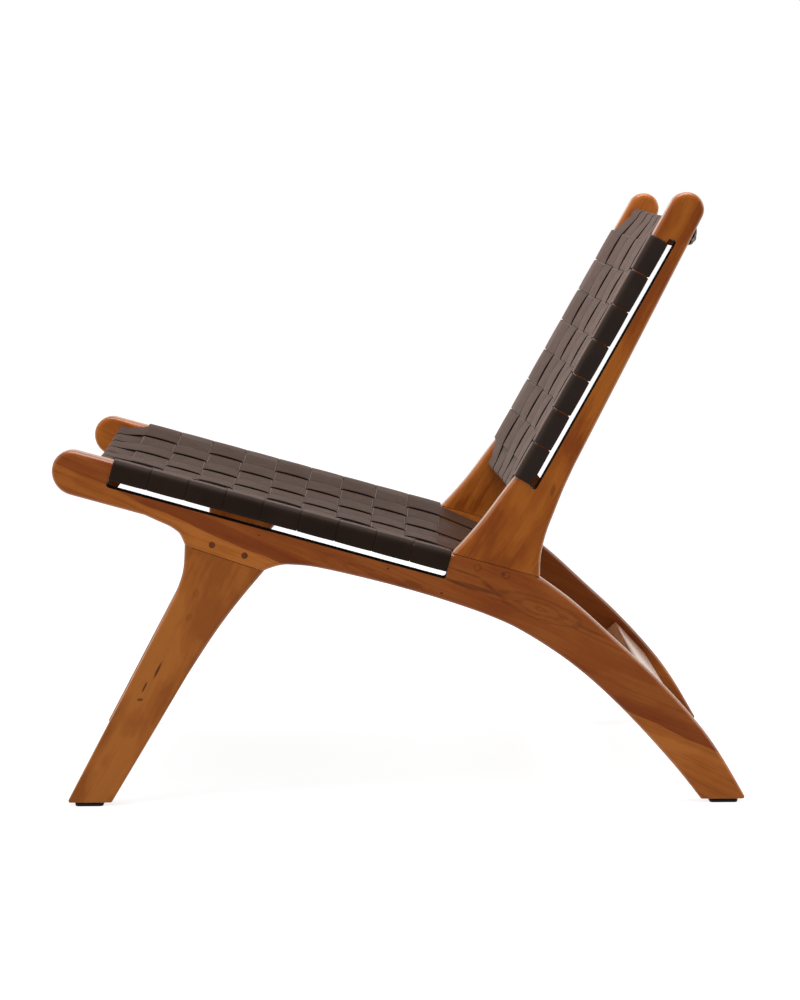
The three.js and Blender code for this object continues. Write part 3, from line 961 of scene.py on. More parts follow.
def foot_corner(before: Vector, corner: Vector, after: Vector, radius: float) -> list[Corner]:
    """Rounds the corner of a foot, where the edges are rounded less.

    Args:
        before: A point on the line into the corner.
        corner: The sharp corner.
        after: A point on the line out of it.
        radius: Radius of the corner.

    Returns:
        The points of the rounded corner.
    """
    points = filleted([(*before, 0), (*corner, radius), (*after, 0)], FOOT_STEP_ANGLE)
    return rounded(points[1:-1], FOOT_EDGE_SHARE)


def eased_foot(points: Sequence[Vector]) -> list[Corner]:
    """Runs a stretch down to a foot, with less rounding on its last points."""
    last = [Corner(point, share, share) for point, share in zip(points[-2:], NEAR_FOOT_SHARES)]
    return rounded(points[:-2]) + last


@dataclass
class Outline:
    """A closed outline whose wood lies to the right of the way that it runs."""

    corners: list[Corner]

    def inset(self, distance: float) -> list[Vector]:
        """Moves the outline into the wood.

        Args:
            distance: How far, where a corner has its full share.

        Returns:
            The moved points.
        """
        made = []
        count = len(self.corners)
        for index, corner in enumerate(self.corners):
            into = (corner.place - self.corners[index - 1].place).normalized()
            out = (self.corners[(index + 1) % count].place - corner.place).normalized()
            first, second = Vector((into.y, -into.x)), Vector((out.y, -out.x))
            before, after = distance * corner.before, distance * corner.after
            turn = first.x * second.y - first.y * second.x
            if abs(turn) < NEARLY_STRAIGHT:
                shift = (first + second).normalized() * (before + after) / 2
            else:
                along = before * second.y - after * first.y
                up = after * first.x - before * second.x
                shift = Vector((along, up)) / turn
            made.append(corner.place + shift)
        return made


@dataclass
class Board:
    """A flat board with rounded edges, cut through by slots."""

    outline: Outline
    slots: list[Outline]
    thickness: float
    middle: float
    edge_round: float
    slot_round: float = 0.8
    steps: int = 5
    wear_start: int = 3
    flat_margin: float = 1.2

    def rings(self, shell: Shell, outline: Outline, radius: float) -> list[list[int]]:
        """Lays the rings of one outline from face to face.

        Args:
            shell: Piece that gets the points.
            outline: The outline or a slot.
            radius: Rounding of its edges.

        Returns:
            The numbers of the points of each ring.
        """
        levels = [(radius + self.flat_margin, 0.0)]
        for step in range(self.steps + 1):
            angle = QUARTER * step / self.steps
            levels.append((radius * (1 - math.sin(angle)), radius * (1 - math.cos(angle))))
        levels += [(inset, self.thickness - depth) for inset, depth in reversed(levels)]
        made = []
        for inset, depth in levels:
            x = self.middle + self.thickness / 2 - depth
            made.append(shell.ring([Vector((x, p.x, p.y)) for p in outline.inset(inset)]))
        return made

    def shell(self) -> Shell:
        """Makes the board's mesh, with its slot walls and its worn edges in materials of their own.

        Returns:
            The points and faces.
        """
        shell = Shell()
        wall = self.steps + 1
        worn = range(self.wear_start, 2 * wall + 1 - self.wear_start)
        outer = self.rings(shell, self.outline, self.edge_round)
        shell.loft(outer, lambda row, edge: BoardLayer.WORN_EDGE if row in worn else BoardLayer.FACE)
        near, far = [outer[0]], [outer[-1]]
        for slot in self.slots:
            inner = self.rings(shell, slot, self.slot_round)
            shell.loft(inner, lambda row, edge: BoardLayer.SLOT_WALL if row == wall else BoardLayer.FACE)
            near.append(inner[0])
            far.append(inner[-1])
        shell.cap(near)
        shell.cap(far)
        return shell


def add_glue(shell: Shell, corners: Sequence[Vector], middle: float, thickness: float) -> None:
    """Fills a joint with glue.

    Args:
        shell: Piece that gets it.
        corners: Its corners in the plane of Y and Z.
        middle: Its middle along X.
        thickness: Its thickness along X.
    """
    left, right = (middle + side * thickness / 2 for side in (1, -1))
    rings = [shell.ring([Vector((x, p.x, p.y)) for p in corners]) for x in (left, right)]
    shell.loft(rings, lambda row, edge: BoardLayer.GLUE)
    for ring in rings:
        shell.cap([ring], BoardLayer.GLUE)


@dataclass
class SideFrames:
    """The seat rails with the rear legs, the front legs and the back posts."""

    frame_width: float = 610
    frame_depth: float = 815
    thickness: float = 32
    edge_round: float = 6.3
    nose_height: float = 395
    slope: float = 15.6
    lean: float = 29.6
    glue_gap: float = 0.7
    glue_set_back: float = 0.7
    glue_inset: float = 9
    toe_inset: float = 7
    leg_glue_reach: tuple[float, float] = (1, -3)
    post_glue_reach: tuple[float, float] = (2, -1)
    rail_depth: float = 51.5
    nose_top_radius: float = 23
    bar_depth: float = 20.4
    slot_depth: float = 10.6
    slot_span: tuple[float, float] = (41, 452.95)
    slot_corner: float = 3.5
    slot_corner_steps: int = 5
    knee_station: float = 559
    foot_height: float = 4.3
    rear_foot_width: float = 53.5
    foot_round: float = 2.5
    hollow_station: float = 270
    hollow_depth: float = 38
    shoulder_station: float = 93
    leg_station: float = 147.5
    leg_top_width: float = 97.5
    front_joint_depth: float = 47.2
    rear_joint_depth: float = 52.3
    front_setback: float = 12
    front_foot_width: float = 53
    post_station: float = 473.9
    post_length: float = 498.5
    post_top_width: float = 40
    post_waist: tuple[float, float] = (156, 53.4)
    post_flare_height: float = 109
    post_toe: float = 20.2
    post_heel: float = 85.5
    post_bar: float = 18.4
    post_slot_depth: float = 9.5
    post_slot_span: tuple[float, float] = (107.3, 440.1)
    post_toe_ease_shares: tuple[float, float] = (0.3, 0.8)
    dowel_radius: float = 3.7
    dowel_sink: float = 0.5
    dowel_rim_height: float = 0.04
    dowel_ease: tuple[float, float] = (0.35, 0.16)
    dowel_crown: tuple[float, float] = (0.5, 0.2)
    dowel_sides: int = 24
    ring_rim_height: float = 0.05
    ring_crown: tuple[float, float] = (0.4, 0.06)
    leg_ring_width: float = 0.1
    post_ring_width: float = 0.35
    leg_dowel_shares: tuple[float, float] = (0.318, 0.728)
    post_dowel_shares: tuple[float, float] = (0.303, 0.634)
    leg_dowel_rise: float = 10.5
    post_dowel_drop: float = 8
    fillet_shares: Pairs = ((0.56, 1),)
    leg_outer_shares: Pairs = (
        (0.173, 0.12), (0.383, 0.298), (0.567, 0.458), (0.746, 0.639), (0.869, 0.792),
    )
    arch_shares: Pairs = (
        (0.058, 0.009), (0.144, 0.041), (0.259, 0.092), (0.375, 0.152), (0.49, 0.223),
        (0.577, 0.297), (0.693, 0.434), (0.808, 0.615), (0.925, 0.837),
    )
    shoulder_shares: Pairs = ((0.296, 0.183), (0.594, 0.361), (0.745, 0.489), (0.88, 0.65))
    leg_front_shares: Pairs = ((0.015, 0.095), (0.071, 0.174), (0.148, 0.245), (0.271, 0.36))
    leg_rear_shares: Pairs = ((0.138, 0.108), (0.259, 0.211), (0.369, 0.315), (0.521, 0.47))
    flare_shares: Pairs = ((0.21, 0.222), (0.375, 0.405), (0.545, 0.586), (0.75, 0.782))
    post_rear_shares: Pairs = (
        (0.318, 0.214), (0.591, 0.427), (0.791, 0.588), (0.922, 0.734), (0.986, 0.85),
    )

    def __post_init__(self) -> None:
        """Works out the lines and the places that the boards share."""
        slope, lean = math.radians(self.slope), math.radians(self.lean)
        low_radius = self.rail_depth - self.nose_top_radius
        self.nose_offset = low_radius - self.rail_depth / 2
        along, out = Vector((math.cos(slope), -math.sin(slope))), Vector((math.sin(slope), math.cos(slope)))
        nose_y = -self.frame_depth / 2 + low_radius - self.nose_offset * (along.x + out.x)
        self.rail = Slant(Vector((nose_y, self.nose_height)), -slope)
        self.post = Slant(self.rail.at(self.post_station, self.rail_depth / 2), QUARTER - lean)
        self.knee = self.rail.at(self.knee_station, self.rail_depth / 2)
        self.heel = Vector((self.frame_depth / 2, self.foot_height))
        self.rear_toe = self.heel - Vector((self.rear_foot_width, 0))
        self.front_toe = Vector((-self.frame_depth / 2 + self.front_setback, self.foot_height))
        self.front_heel = self.front_toe + Vector((self.front_foot_width, 0))
        self.base = (self.post_station - self.post_toe, self.post_station + self.post_heel)
        self.leg_line = [self.knee, *between(self.knee, self.heel, self.leg_outer_shares), self.heel]

    @property
    def outer_face(self) -> float:
        """Outer face of the left boards."""
        return self.frame_width / 2

    @property
    def inner_face(self) -> float:
        """Inner face of the left boards."""
        return self.outer_face - self.thickness

    @property
    def board_middle(self) -> float:
        """Middle of the left boards."""
        return self.outer_face - self.thickness / 2

    def on_joint(self, share: float, rise: float) -> Vector:
        """Place on the joint line of the front leg, or above it.

        Args:
            share: Share of the joint's width.
            rise: Height above the joint line.

        Returns:
            The place in the plane of Y and Z.
        """
        depth = self.front_joint_depth + (self.rear_joint_depth - self.front_joint_depth) * share
        return self.rail.at(self.leg_station + self.leg_top_width * share, rise - depth)

    def slot_outline(self, line: Slant, span: tuple[float, float], top: float, depth: float) -> Outline:
        """Outline of a long slot with rounded corners.

        Args:
            line: Line that the slot follows.
            span: Its two ends along the line.
            top: Its side towards the sitter.
            depth: Its depth.

        Returns:
            The outline, with the wood round it.
        """
        start, end = span
        loop = rounded_rectangle(end - start, depth, self.slot_corner, self.slot_corner_steps)
        return Outline(rounded([line.at((start + end) / 2 + p.x, top - depth / 2 + p.y) for p in loop]))

    def rail_outline(self) -> Outline:
        """Outline of the seat rail and rear leg.

        Returns:
            The outline from the underside of the nose, over the top and back along the arch.
        """
        half, offset = self.rail_depth / 2, self.nose_offset
        up = QUARTER + self.rail.tilt
        low_radius = self.rail_depth - self.nose_top_radius
        low = arc(self.rail.at(offset, offset), low_radius, up + math.pi, up + QUARTER, steps=12)
        top = arc(self.rail.at(-offset, offset), self.nose_top_radius, up + QUARTER, up, steps=12)
        edge = self.edge_round
        before_toe, after_toe = (edge * share for share in self.post_toe_ease_shares)
        toe, heel = self.base
        crown = self.rail.at(self.hollow_station, -self.hollow_depth)
        shoulder = self.rail.at(self.shoulder_station, -half)
        leg_front, leg_rear = self.on_joint(0, 0), self.on_joint(1, 0)
        fillet_corner = between(leg_rear, crown, self.fillet_shares)[0]
        arch = smooth_run(crown, self.arch_shares, self.rear_toe, steps=54)
        shoulders = smooth_run(shoulder, self.shoulder_shares, leg_front, steps=20)
        corners = rounded(low) + rounded(top[1:])
        corners += rounded([self.rail.at(toe - before_toe, half)])
        corners += rounded([self.rail.at(toe + after_toe, half), self.rail.at(heel - edge, half)], 0)
        back = catmull_rom(self.leg_line, steps=36)
        corners += eased_foot(back[:-1])
        corners += foot_corner(back[-2], self.heel, self.rear_toe, self.foot_round)
        corners += foot_corner(self.heel, self.rear_toe, arch[-2], self.foot_round)
        corners += eased_foot(arch[:-1])[::-1]
        corners += rounded(quadratic(crown, fillet_corner, leg_rear, steps=10)[1:-1])
        corners += [Corner(leg_rear, 1, 0), Corner(leg_front, 0, 1)]
        corners += rounded(shoulders[-2::-1])
        return Outline(corners)

    def leg_outline(self) -> Outline:
        """Outline of a front leg.

        Returns:
            The outline from its rear top corner down, forward and up.
        """
        top_front, top_rear = self.on_joint(0, -self.glue_gap), self.on_joint(1, -self.glue_gap)
        rear = catmull_rom([top_rear, *between(top_rear, self.front_heel, self.leg_rear_shares)], steps=18)
        front = catmull_rom([top_front, *between(top_front, self.front_toe, self.leg_front_shares)], steps=18)
        corners = [Corner(rear[0], 0, 1), *eased_foot(rear[1:-1])]
        corners += foot_corner(rear[-2], self.front_heel, self.front_toe, self.foot_round)
        corners += foot_corner(self.front_heel, self.front_toe, front[-2], self.foot_round)
        corners += [*eased_foot(front[1:-1])[::-1], Corner(front[0], 1, 0)]
        return Outline(corners)

    def post_outline(self) -> Outline:
        """Outline of a back post.

        Returns:
            The outline from its toe up the front, over the top and down the rear.
        """
        out = self.rail_depth / 2 + self.glue_gap
        toe, heel = self.rail.at(self.base[0], out), self.rail.at(self.base[1], out)
        flare = self.post.at(self.post_flare_height, 0)
        waist = self.post.at(self.post_waist[0], -self.post_waist[1])
        radius = self.post_top_width / 2
        centre = self.post.at(self.post_length - radius, -radius)
        front_angle = self.post.tilt + QUARTER
        front = smooth_run(flare, self.flare_shares, toe, steps=20)
        top = arc(centre, radius, front_angle, front_angle - math.pi, steps=22)
        rear = smooth_run(waist, self.post_rear_shares, heel, steps=24)
        corners = [Corner(toe, 0, 1), *rounded(front[-2::-1]), *rounded(top), *rounded(rear[:-1])]
        corners.append(Corner(heel, 1, 0))
        return Outline(corners)

    def leg_glue(self) -> list[Vector]:
        """Corners of the glue between a front leg and its rail.

        Returns:
            The two upper corners, then the two lower ones.
        """
        upper, lower = self.leg_glue_reach
        inset = self.glue_inset / self.leg_top_width
        corners = ((inset, upper), (1 - inset, upper), (1 - inset, lower), (inset, lower))
        return [self.on_joint(share, rise) for share, rise in corners]

    def post_glue(self) -> list[Vector]:
        """Corners of the glue between a back post and its rail.

        Returns:
            The two upper corners, then the two lower ones.
        """
        upper, lower = (self.rail_depth / 2 + reach for reach in self.post_glue_reach)
        toe, heel = self.base[0] + self.toe_inset, self.base[1] - self.glue_inset
        return [self.rail.at(*place) for place in ((toe, upper), (heel, upper), (heel, lower), (toe, lower))]

    def dowels(self, side: Side, places: Sequence[Vector], ring: float) -> Shell:
        """Round dowel ends on both faces of a board, each with a dark line of glue round it.

        Args:
            side: Side of the chair.
            places: Their middles in the plane of Y and Z.
            ring: Width of the dark line round each.

        Returns:
            The points and faces.
        """
        shell = Shell()
        middle = side.value * self.board_middle
        wood, line = self.dowel_radius, self.dowel_radius + ring
        eased, ease_height = self.dowel_ease
        profiles = (
            ((line, -self.dowel_sink), (line, self.ring_rim_height), self.ring_crown),
            (
                (wood, -self.dowel_sink), (wood, self.dowel_rim_height),
                (wood - eased, ease_height), self.dowel_crown,
            ),
        )
        for place in places:
            for face in (1, -1):
                for slot, profile in zip((DowelLayer.GLUE_RING, DowelLayer.WOOD), profiles):
                    rings = []
                    for radius, proud in profile:
                        x = middle + face * (self.thickness / 2 + proud)
                        loop = circle(place, radius, self.dowel_sides)
                        rings.append(shell.ring([Vector((x, p.x, p.y)) for p in loop]))
                    shell.tube(rings, lambda row, edge, slot=slot: slot, slot)
        return shell

    def build(self, effects: Effects) -> None:
        """Builds and dresses the boards and dowel ends of both sides.

        Args:
            effects: The shared node groups.
        """
        # The walls of the slots are near-black.
        dark_wall = Plain("slot_wall_dark", (14, 9, 8), (20, 13, 11), rough=0.5, gloss=0.05).material(effects)
        glue = Plain("glue_line", (34, 17, 9), (44, 23, 12), rough=0.7, gloss=0.1).material(effects)
        half = self.rail_depth / 2
        toe, heel = self.base
        rail_slot = self.slot_outline(self.rail, self.slot_span, half - self.bar_depth, self.slot_depth)
        post_slot = self.slot_outline(self.post, self.post_slot_span, -self.post_bar, self.post_slot_depth)
        leg_dowels = [self.on_joint(share, self.leg_dowel_rise) for share in self.leg_dowel_shares]
        post_dowels = [
            self.rail.at(toe + (heel - toe) * share, half - self.post_dowel_drop)
            for share in self.post_dowel_shares
        ]
        boards = (
            ("seat_rail", self.rail_outline(), [rail_slot], []),
            ("front_leg", self.leg_outline(), [], self.leg_glue()),
            ("back_post", self.post_outline(), [post_slot], self.post_glue()),
        )
        for side in Side:
            label, middle = side.label, side.value * self.board_middle
            finishes = side_finishes(side)
            rail_wood, leg_wood, post_wood, dowel_wood = (finish.material(effects) for finish in finishes)
            edges = [finish.worn().material(effects) for finish in finishes[:3]]
            for board, wood, edge in zip(boards, (rail_wood, leg_wood, post_wood), edges):
                name, outline, slots, joint = board
                shell = Board(outline, slots, self.thickness, middle, self.edge_round).shell()
                if joint:
                    add_glue(shell, joint, middle, self.thickness - self.glue_set_back * 2)
                piece = shell.build(f"{label}_{name}_board", [wood, dark_wall, glue, edge])
                enlist(piece, Slot.SIDE_FRAME, f"{label}_{name}")
            for name, places, ring, wood in (
                ("front_leg", leg_dowels, self.leg_ring_width, dowel_wood),
                ("back_post", post_dowels, self.post_ring_width, rail_wood),
            ):
                piece = self.dowels(side, places, ring).build(f"{label}_{name}_dowel_ends", [wood, glue])
                enlist(piece, Slot.SIDE_FRAME)


def side_finishes(side: Side) -> tuple[Teak, Teak, Teak, Teak]:
    """Teak of the seat rail, front leg, back post and dowels of a side.

    Args:
        side: Side of the chair.

    Returns:
        The four finishes.
    """
    dowel_tones = Tones(light=(100, 54, 30), middle=(88, 46, 24), dark=(74, 36, 18))
    dowel = Teak(f"{side.label}_dowel_teak", grain=90, seed=31 + side.value, tones=dowel_tones)
    if side is Side.RIGHT:
        # Painted shade: darkens the right rear leg and arch towards the heartwood brown, for the shade of the
        # seat and the near frame.
        painted_shade_band = Band((150, 176), (408, 61), 110, lower=12)
        post_tones = Tones(light=(158, 89, 34), middle=(146, 79, 28))
        return (
            Teak("right_seat_rail_teak", grain=-24, seed=11.3, bands=(painted_shade_band,)),
            Teak("right_front_leg_teak", grain=68, seed=17.9, cloud=0.6),
            Teak("right_back_post_teak", grain=60, seed=23.1, tones=post_tones, cloud=0.6),
            dowel,
        )
    rail = Teak(
        "left_seat_rail_teak",
        grain=-24,
        seed=2.4,
        tones=Tones(light=(160, 94, 40), middle=(148, 83, 32), dark=(134, 72, 26), heart_and_shade=(94, 31, 9)),
        streak=0.3,
        bands=(
            Band((-425, 418), (430, 36), 400, 0.68),
            Band((-312, 363.5), (-100, 270), 22, 0.97),
            Band((240, 121), (430, 36), 18, 1),
        ),
        spots=(
            Spot((-14.9, 281), 2.2, 1.6, 0.8), Spot((47.9, 251.6), 2.2, 1.6, 0.8),
            Spot((-165.9, 321.3), 1.8, 1.2), Spot((15, 262), 16, 5, 0.3, 4),
            Spot((76.2, 275.5), 27, 1.8, 0.45, 5), Spot((84, 258.6), 44, 3.6, 0.5, 7),
            Spot((104, 258.6), 17, 2.8, 0.4, -16), Spot((120.2, 274), 4, 3, 0.45),
            Spot((222, 206), 26, 2.4, 0.25),
            Spot((164, 232), 76, 18, 0.24, 3, 3.4), Spot((-30, 272), 80, 14, 0.2, 3, 2.7),
        ),
    )
    leg = Teak(
        "left_front_leg_teak",
        grain=63,
        seed=5.6,
        tones=Tones(light=(154, 91, 38), middle=(144, 82, 32), dark=(132, 72, 27), heart_and_shade=(104, 50, 18)),
        streak=0.1,
        cloud=0.75,
        spots=(
            Spot((-286, 162.4), 14, 1.8, 0.85), Spot((-301.6, 142.5), 9.5, 1.5, 0.8),
            Spot((-307.3, 127.6), 4.5, 2.4, 0.7, -55),
            Spot((-248.7, 224.8), 7, 5, 0.2), Spot((-240.2, 253.2), 7, 5, 0.2),
        ),
    )
    knot = Spot((178.5, 372), 10, 3.4, 0.4, 12)
    post = Teak("left_back_post_teak", grain=60.4, seed=8.2, cloud=0.6, spots=(knot,))
    return rail, leg, post, dowel


# Cross members


@dataclass(frozen=True)
class CrossRail:
    """One dished rail, measured in its sling's frame, with its edges rounded near the sitter and far away."""

    name: str
    start: float
    thickness: float
    depth: float
    drop: float
    dish: float
    near_round: float = 5
    far_round: float = 5

    def face(self, way: int) -> float:
        """Its side away from the weave, which lies ahead of it where way is 1, else behind it."""
        return self.start if way > 0 else self.start + self.thickness


def dip(dish: float, x: float, half: float) -> float:
    """How far a dish has fallen at a distance from its middle."""
    return dish * (1 - (x / half) ** 2)


@dataclass
class CrossMembers:
    """The dished rails of both slings, and the stretcher between the rear legs."""

    sides: SideFrames
    room: float = 0.5
    end_gap: float = 0.3
    stations: int = 36
    stretcher_thickness: float = 17
    stretcher_width: float = 60
    stretcher_inset: float = 10
    stretcher_round: float = 2.5
    stretcher_share: float = 0.6
    line_steps: int = 400

    def rail_shell(self, line: Slant, rail: CrossRail) -> Shell:
        """Mesh of one dished rail.

        Args:
            line: The sling's line.
            rail: Sizes of the rail.

        Returns:
            The points and faces.
        """
        shell = Shell()
        half = self.sides.inner_face
        section = [
            point
            for radius, far in ((rail.near_round, False), (rail.far_round, True))
            for point in rounded_rectangle(rail.thickness, rail.depth, radius)
            if (point.y < 0) == far
        ]
        rings = []
        for index in range(self.stations + 1):
            x = (half - self.end_gap) * (2 * index / self.stations - 1)
            top = -rail.drop - self.room - dip(rail.dish, x, half)
            middle = (rail.start + rail.thickness / 2, top - rail.depth / 2)
            rings.append(shell.ring([line.space(x, middle[0] + p.x, middle[1] + p.y) for p in section]))
        shell.tube(rings)
        return shell

    def stretcher_shell(self) -> Shell:
        """Mesh of the stretcher board.

        Returns:
            The points and faces.
        """
        fine = catmull_rom(self.sides.leg_line, self.line_steps)
        lengths = [0.0]
        for first, second in zip(fine, fine[1:]):
            lengths.append(lengths[-1] + (second - first).length)
        index = next(i for i, length in enumerate(lengths) if length >= lengths[-1] * self.stretcher_share)
        down = (fine[index + 1] - fine[index - 1]).normalized()
        outward = Vector((-down.y, down.x))
        middle = fine[index] - outward * (self.stretcher_inset + self.stretcher_thickness / 2)
        shell = Shell()
        end = self.sides.inner_face - self.end_gap
        section = rounded_rectangle(self.stretcher_width, self.stretcher_thickness, self.stretcher_round)
        rings = []
        for x in (-end, -end / 3, end / 3, end):
            places = [middle + down * p.x + outward * p.y for p in section]
            rings.append(shell.ring([Vector((x, p.x, p.y)) for p in places]))
        shell.tube(rings)
        return shell

    def build(self, slings: Sequence["Sling"], effects: Effects) -> None:
        """Builds and dresses the rails of the slings and the stretcher.

        Args:
            slings: The slings that hold the rails' sizes.
            effects: The shared node groups.
        """
        # Painted shade: the cross rails get darker browns than the side boards, for the shade between the
        # side frames, and no gloss, coat or sheen.
        tones = Tones(light=(98, 53, 24), middle=(84, 44, 18), dark=(70, 36, 14))
        matt = {"gloss": 0, "coat": 0, "sheen": 0}
        across = AcrossTeak("cross_rail_teak_painted_shade", grain=0, seed=41.0, tones=tones, **matt).material(effects)
        for sling in slings:
            for rail in sling.rails:
                piece = self.rail_shell(sling.line, rail).build(f"{rail.name}_wood", [across])
                enlist(piece, Slot.CROSS_MEMBER, rail.name)
        pale = AcrossTeak("stretcher_teak", grain=0, seed=47.0, coat=0.6).material(effects)
        piece = self.stretcher_shell().build("rear_leg_stretcher_board", [pale])
        enlist(piece, Slot.CROSS_MEMBER, "rear_leg_stretcher")


# Slings


@dataclass(frozen=True)
class Ribbon:
    """Cross-section of a leather strap: flat, softly crowned, with eased edges."""

    width: float
    thickness: float = 1.9
    crown: float = 0.22
    ease: float = 0.5
    lip: float = 0.06
    shoulder: float = 3.5
    crown_share: float = 0.75
    ease_shares: Pairs = ((0.3, 0.45), (0, 1.1))
    painted_edges: tuple[int, ...] = (6, 7, 8, 15, 16, 17)
    # Upper corners of the section that get the painted highlight in the weave.
    highlight_edges: tuple[int, ...] = (5, 18)

    def section(self, spread: float = 0) -> list[tuple[float, float]]:
        """Points round the section, as distances across the strap and out of it.

        Args:
            spread: How much wider the strap lies here.

        Returns:
            The points, in one turn from the left end of the top.
        """
        half, rise, ease = (self.width + spread) / 2, self.thickness / 2, self.ease
        flank, shoulder = rise + self.crown * self.crown_share, half - self.shoulder
        top = [(-shoulder, rise), (-half / 2, flank), (0, rise + self.crown)]
        top += [(half / 2, flank), (shoulder, rise)]
        edge = [(half - ease, rise - self.lip)]
        edge += [(half - ease * across, rise - ease * down) for across, down in self.ease_shares]
        edge += [(x, -z) for x, z in reversed(edge)]
        bottom = [(half / 2, -rise), (0, -rise), (-half / 2, -rise)]
        return top + edge + bottom + [(-x, -z) for x, z in edge]

    def layer(self, edge: int, woven: bool = True) -> StrapLayer:
        """Material of an edge of the section.

        Args:
            edge: Number of the edge.
            woven: True in the weave, where the upper corners get a painted highlight.

        Returns:
            The material's place among the slots.
        """
        if edge in self.painted_edges:
            return StrapLayer.PAINTED_SIDE
        return StrapLayer.PAINTED_HIGHLIGHT if woven and edge in self.highlight_edges else StrapLayer.LEATHER


@dataclass(frozen=True)
class Wave:
    """How far a strap rises over a crossing, at its shoulders and again at its middle."""

    lift: float
    bulge: float


@dataclass(frozen=True)
class Station:
    """One place on a strap's middle line, in its sling's frame, and the dish that it follows."""

    along: float
    out: float
    dish: float


@dataclass
class Sling:
    """A seat or back woven from straps over four rails."""

    sides: SideFrames
    name: str = ""
    wrapped: str = ""
    dish: float = 0
    crosswise_count: int = 0
    crosswise_pitch: float = 0
    weave_start: float = 0
    wrap_spread: float = 1.0
    gloss: float = 0.04
    rails: tuple[CrossRail, ...] = ()
    lengthwise: Ribbon = Ribbon(width=43.8)
    crosswise: Ribbon = Ribbon(width=44.4, ease=0.8)
    lengthwise_count: int = 11
    margin: float = 9
    seated: float = 0.3
    lengthwise_wave: Wave = Wave(lift=1.5, bulge=0.7)
    crosswise_wave: Wave = Wave(lift=0.65, bulge=0.35)
    flat_half: float = 21.4
    stray: float = 0.2
    rail_gap: float = 0.3
    top_run: float = 11
    board_run: float = 7
    slot_bend: float = 2
    tail_inset: float = 9
    tail_rise: float = 14
    tack_inset: float = 5
    tack_spread: float = 12
    tack_sides: int = 12
    tack_profile: Pairs = ((2.6, -0.4), (2.6, 0.1), (2.3, 0.6), (1.5, 1.05), (0.5, 1.25))
    section_sharp: float = 60
    shoulder_shares: Pairs = (
        (-1, 0.72), (-0.93, 0.95), (-0.8, 1), (-0.4, 1), (0, 1), (0.4, 1), (0.8, 1), (0.93, 0.95), (1, 0.72),
    )

    def __post_init__(self) -> None:
        """Works out what the straps share."""
        self.half = self.sides.inner_face
        self.pitch = (self.half - self.margin) * 2 / self.lengthwise_count
        self.rest = self.seated + self.lengthwise.thickness / 2
        self.random = random.Random(self.name)

    @property
    def line(self) -> Slant:
        """Line that the sling is measured from."""
        raise NotImplementedError

    @property
    def bar_depth(self) -> float:
        """Wood that the crosswise straps wrap."""
        raise NotImplementedError

    @property
    def places(self) -> list[float]:
        """Middles of the crosswise straps along the sling."""
        start, pitch = self.weave_start, self.crosswise_pitch
        return [start + pitch * (index + 0.5) for index in range(self.crosswise_count)]

    def under(self, rail: CrossRail) -> float:
        """Height of a strap's middle where it has turned under its rail."""
        return self.rest - rail.drop - rail.depth - (self.rest + self.rail_gap) * 2

    def middle(self, index: int) -> float:
        """Middle of a lengthwise strap along X."""
        return self.pitch * (index - (self.lengthwise_count - 1) / 2)

    def over(self, lengthwise: int, crosswise: int) -> int:
        """1 where the lengthwise strap lies over the crosswise one, otherwise -1."""
        return 1 if (lengthwise + crosswise) % 2 == 0 else -1

    def crossing(self, middle: float, sign: int, wave: Wave) -> list[tuple[float, float]]:
        """Places on one crossing and the strap's height there.

        Args:
            middle: Middle of the crossing.
            sign: 1 where the strap lies over, -1 where it lies under.
            wave: How far the strap rises or sinks.

        Returns:
            Pairs of a place and a height.
        """
        made = []
        for place, height in self.shoulder_shares:
            rise = wave.lift * height + wave.bulge * (1 - place * place)
            made.append((middle + place * self.flat_half, self.rest + sign * rise))
        return made

    def rail_turn(self, rail: CrossRail, way: int) -> list[Station]:
        """The turn of a lengthwise strap round its rail, from its tail to the top.

        Args:
            rail: The rail.
            way: 1 where the weave lies ahead of the rail and -1 where it lies behind.

        Returns:
            The stations, tail first.
        """
        face = rail.face(way)
        tail = face + way * (rail.thickness - self.tail_inset)
        outside = face - way * (self.rest + self.rail_gap)
        top, under = self.rest - rail.drop, self.under(rail)
        corners = (
            (tail, under, 0), (outside, under, rail.far_round + self.rest),
            (outside, top, rail.near_round + self.rest), (face + way * self.top_run, top, 0),
        )
        return [Station(p.x, p.y, rail.dish) for p in filleted(corners)]

    def lengthwise_path(self, index: int) -> list[Station]:
        """Middle line of a lengthwise strap.

        Args:
            index: Number of the strap from -X.

        Returns:
            The stations from one tail to the other.
        """
        start, end = self.rails
        weave = []
        for place, number in sorted((place, number) for number, place in enumerate(self.places)):
            crossing = self.crossing(place, self.over(index, number), self.lengthwise_wave)
            weave += [Station(along, out, self.dish) for along, out in crossing]
        return self.rail_turn(start, 1) + weave + self.rail_turn(end, -1)[::-1]

    def lengthwise_shell(self, index: int) -> tuple[Shell, float]:
        """Mesh of a lengthwise strap.

        Args:
            index: Number of the strap from -X.

        Returns:
            The points and faces, and the length of the strap's middle line.
        """
        middle = self.middle(index) + self.random.uniform(-self.stray, self.stray)
        path = self.lengthwise_path(index)
        line = [Vector((s.along, s.out - dip(s.dish, middle, self.half))) for s in path]
        shell = Shell()
        rings = []
        for station, place, out in zip(path, line, normals(line)):
            points = []
            for across, rise in self.lengthwise.section():
                lean = dip(station.dish, middle, self.half) - dip(station.dish, middle + across, self.half)
                spot = place + out * rise
                points.append(self.line.space(middle + across, spot.x, spot.y + lean))
            rings.append(shell.ring(points))
        shell.tube(rings, lambda row, edge: self.lengthwise.layer(edge), StrapLayer.PAINTED_SIDE)
        return shell, run_length(line)

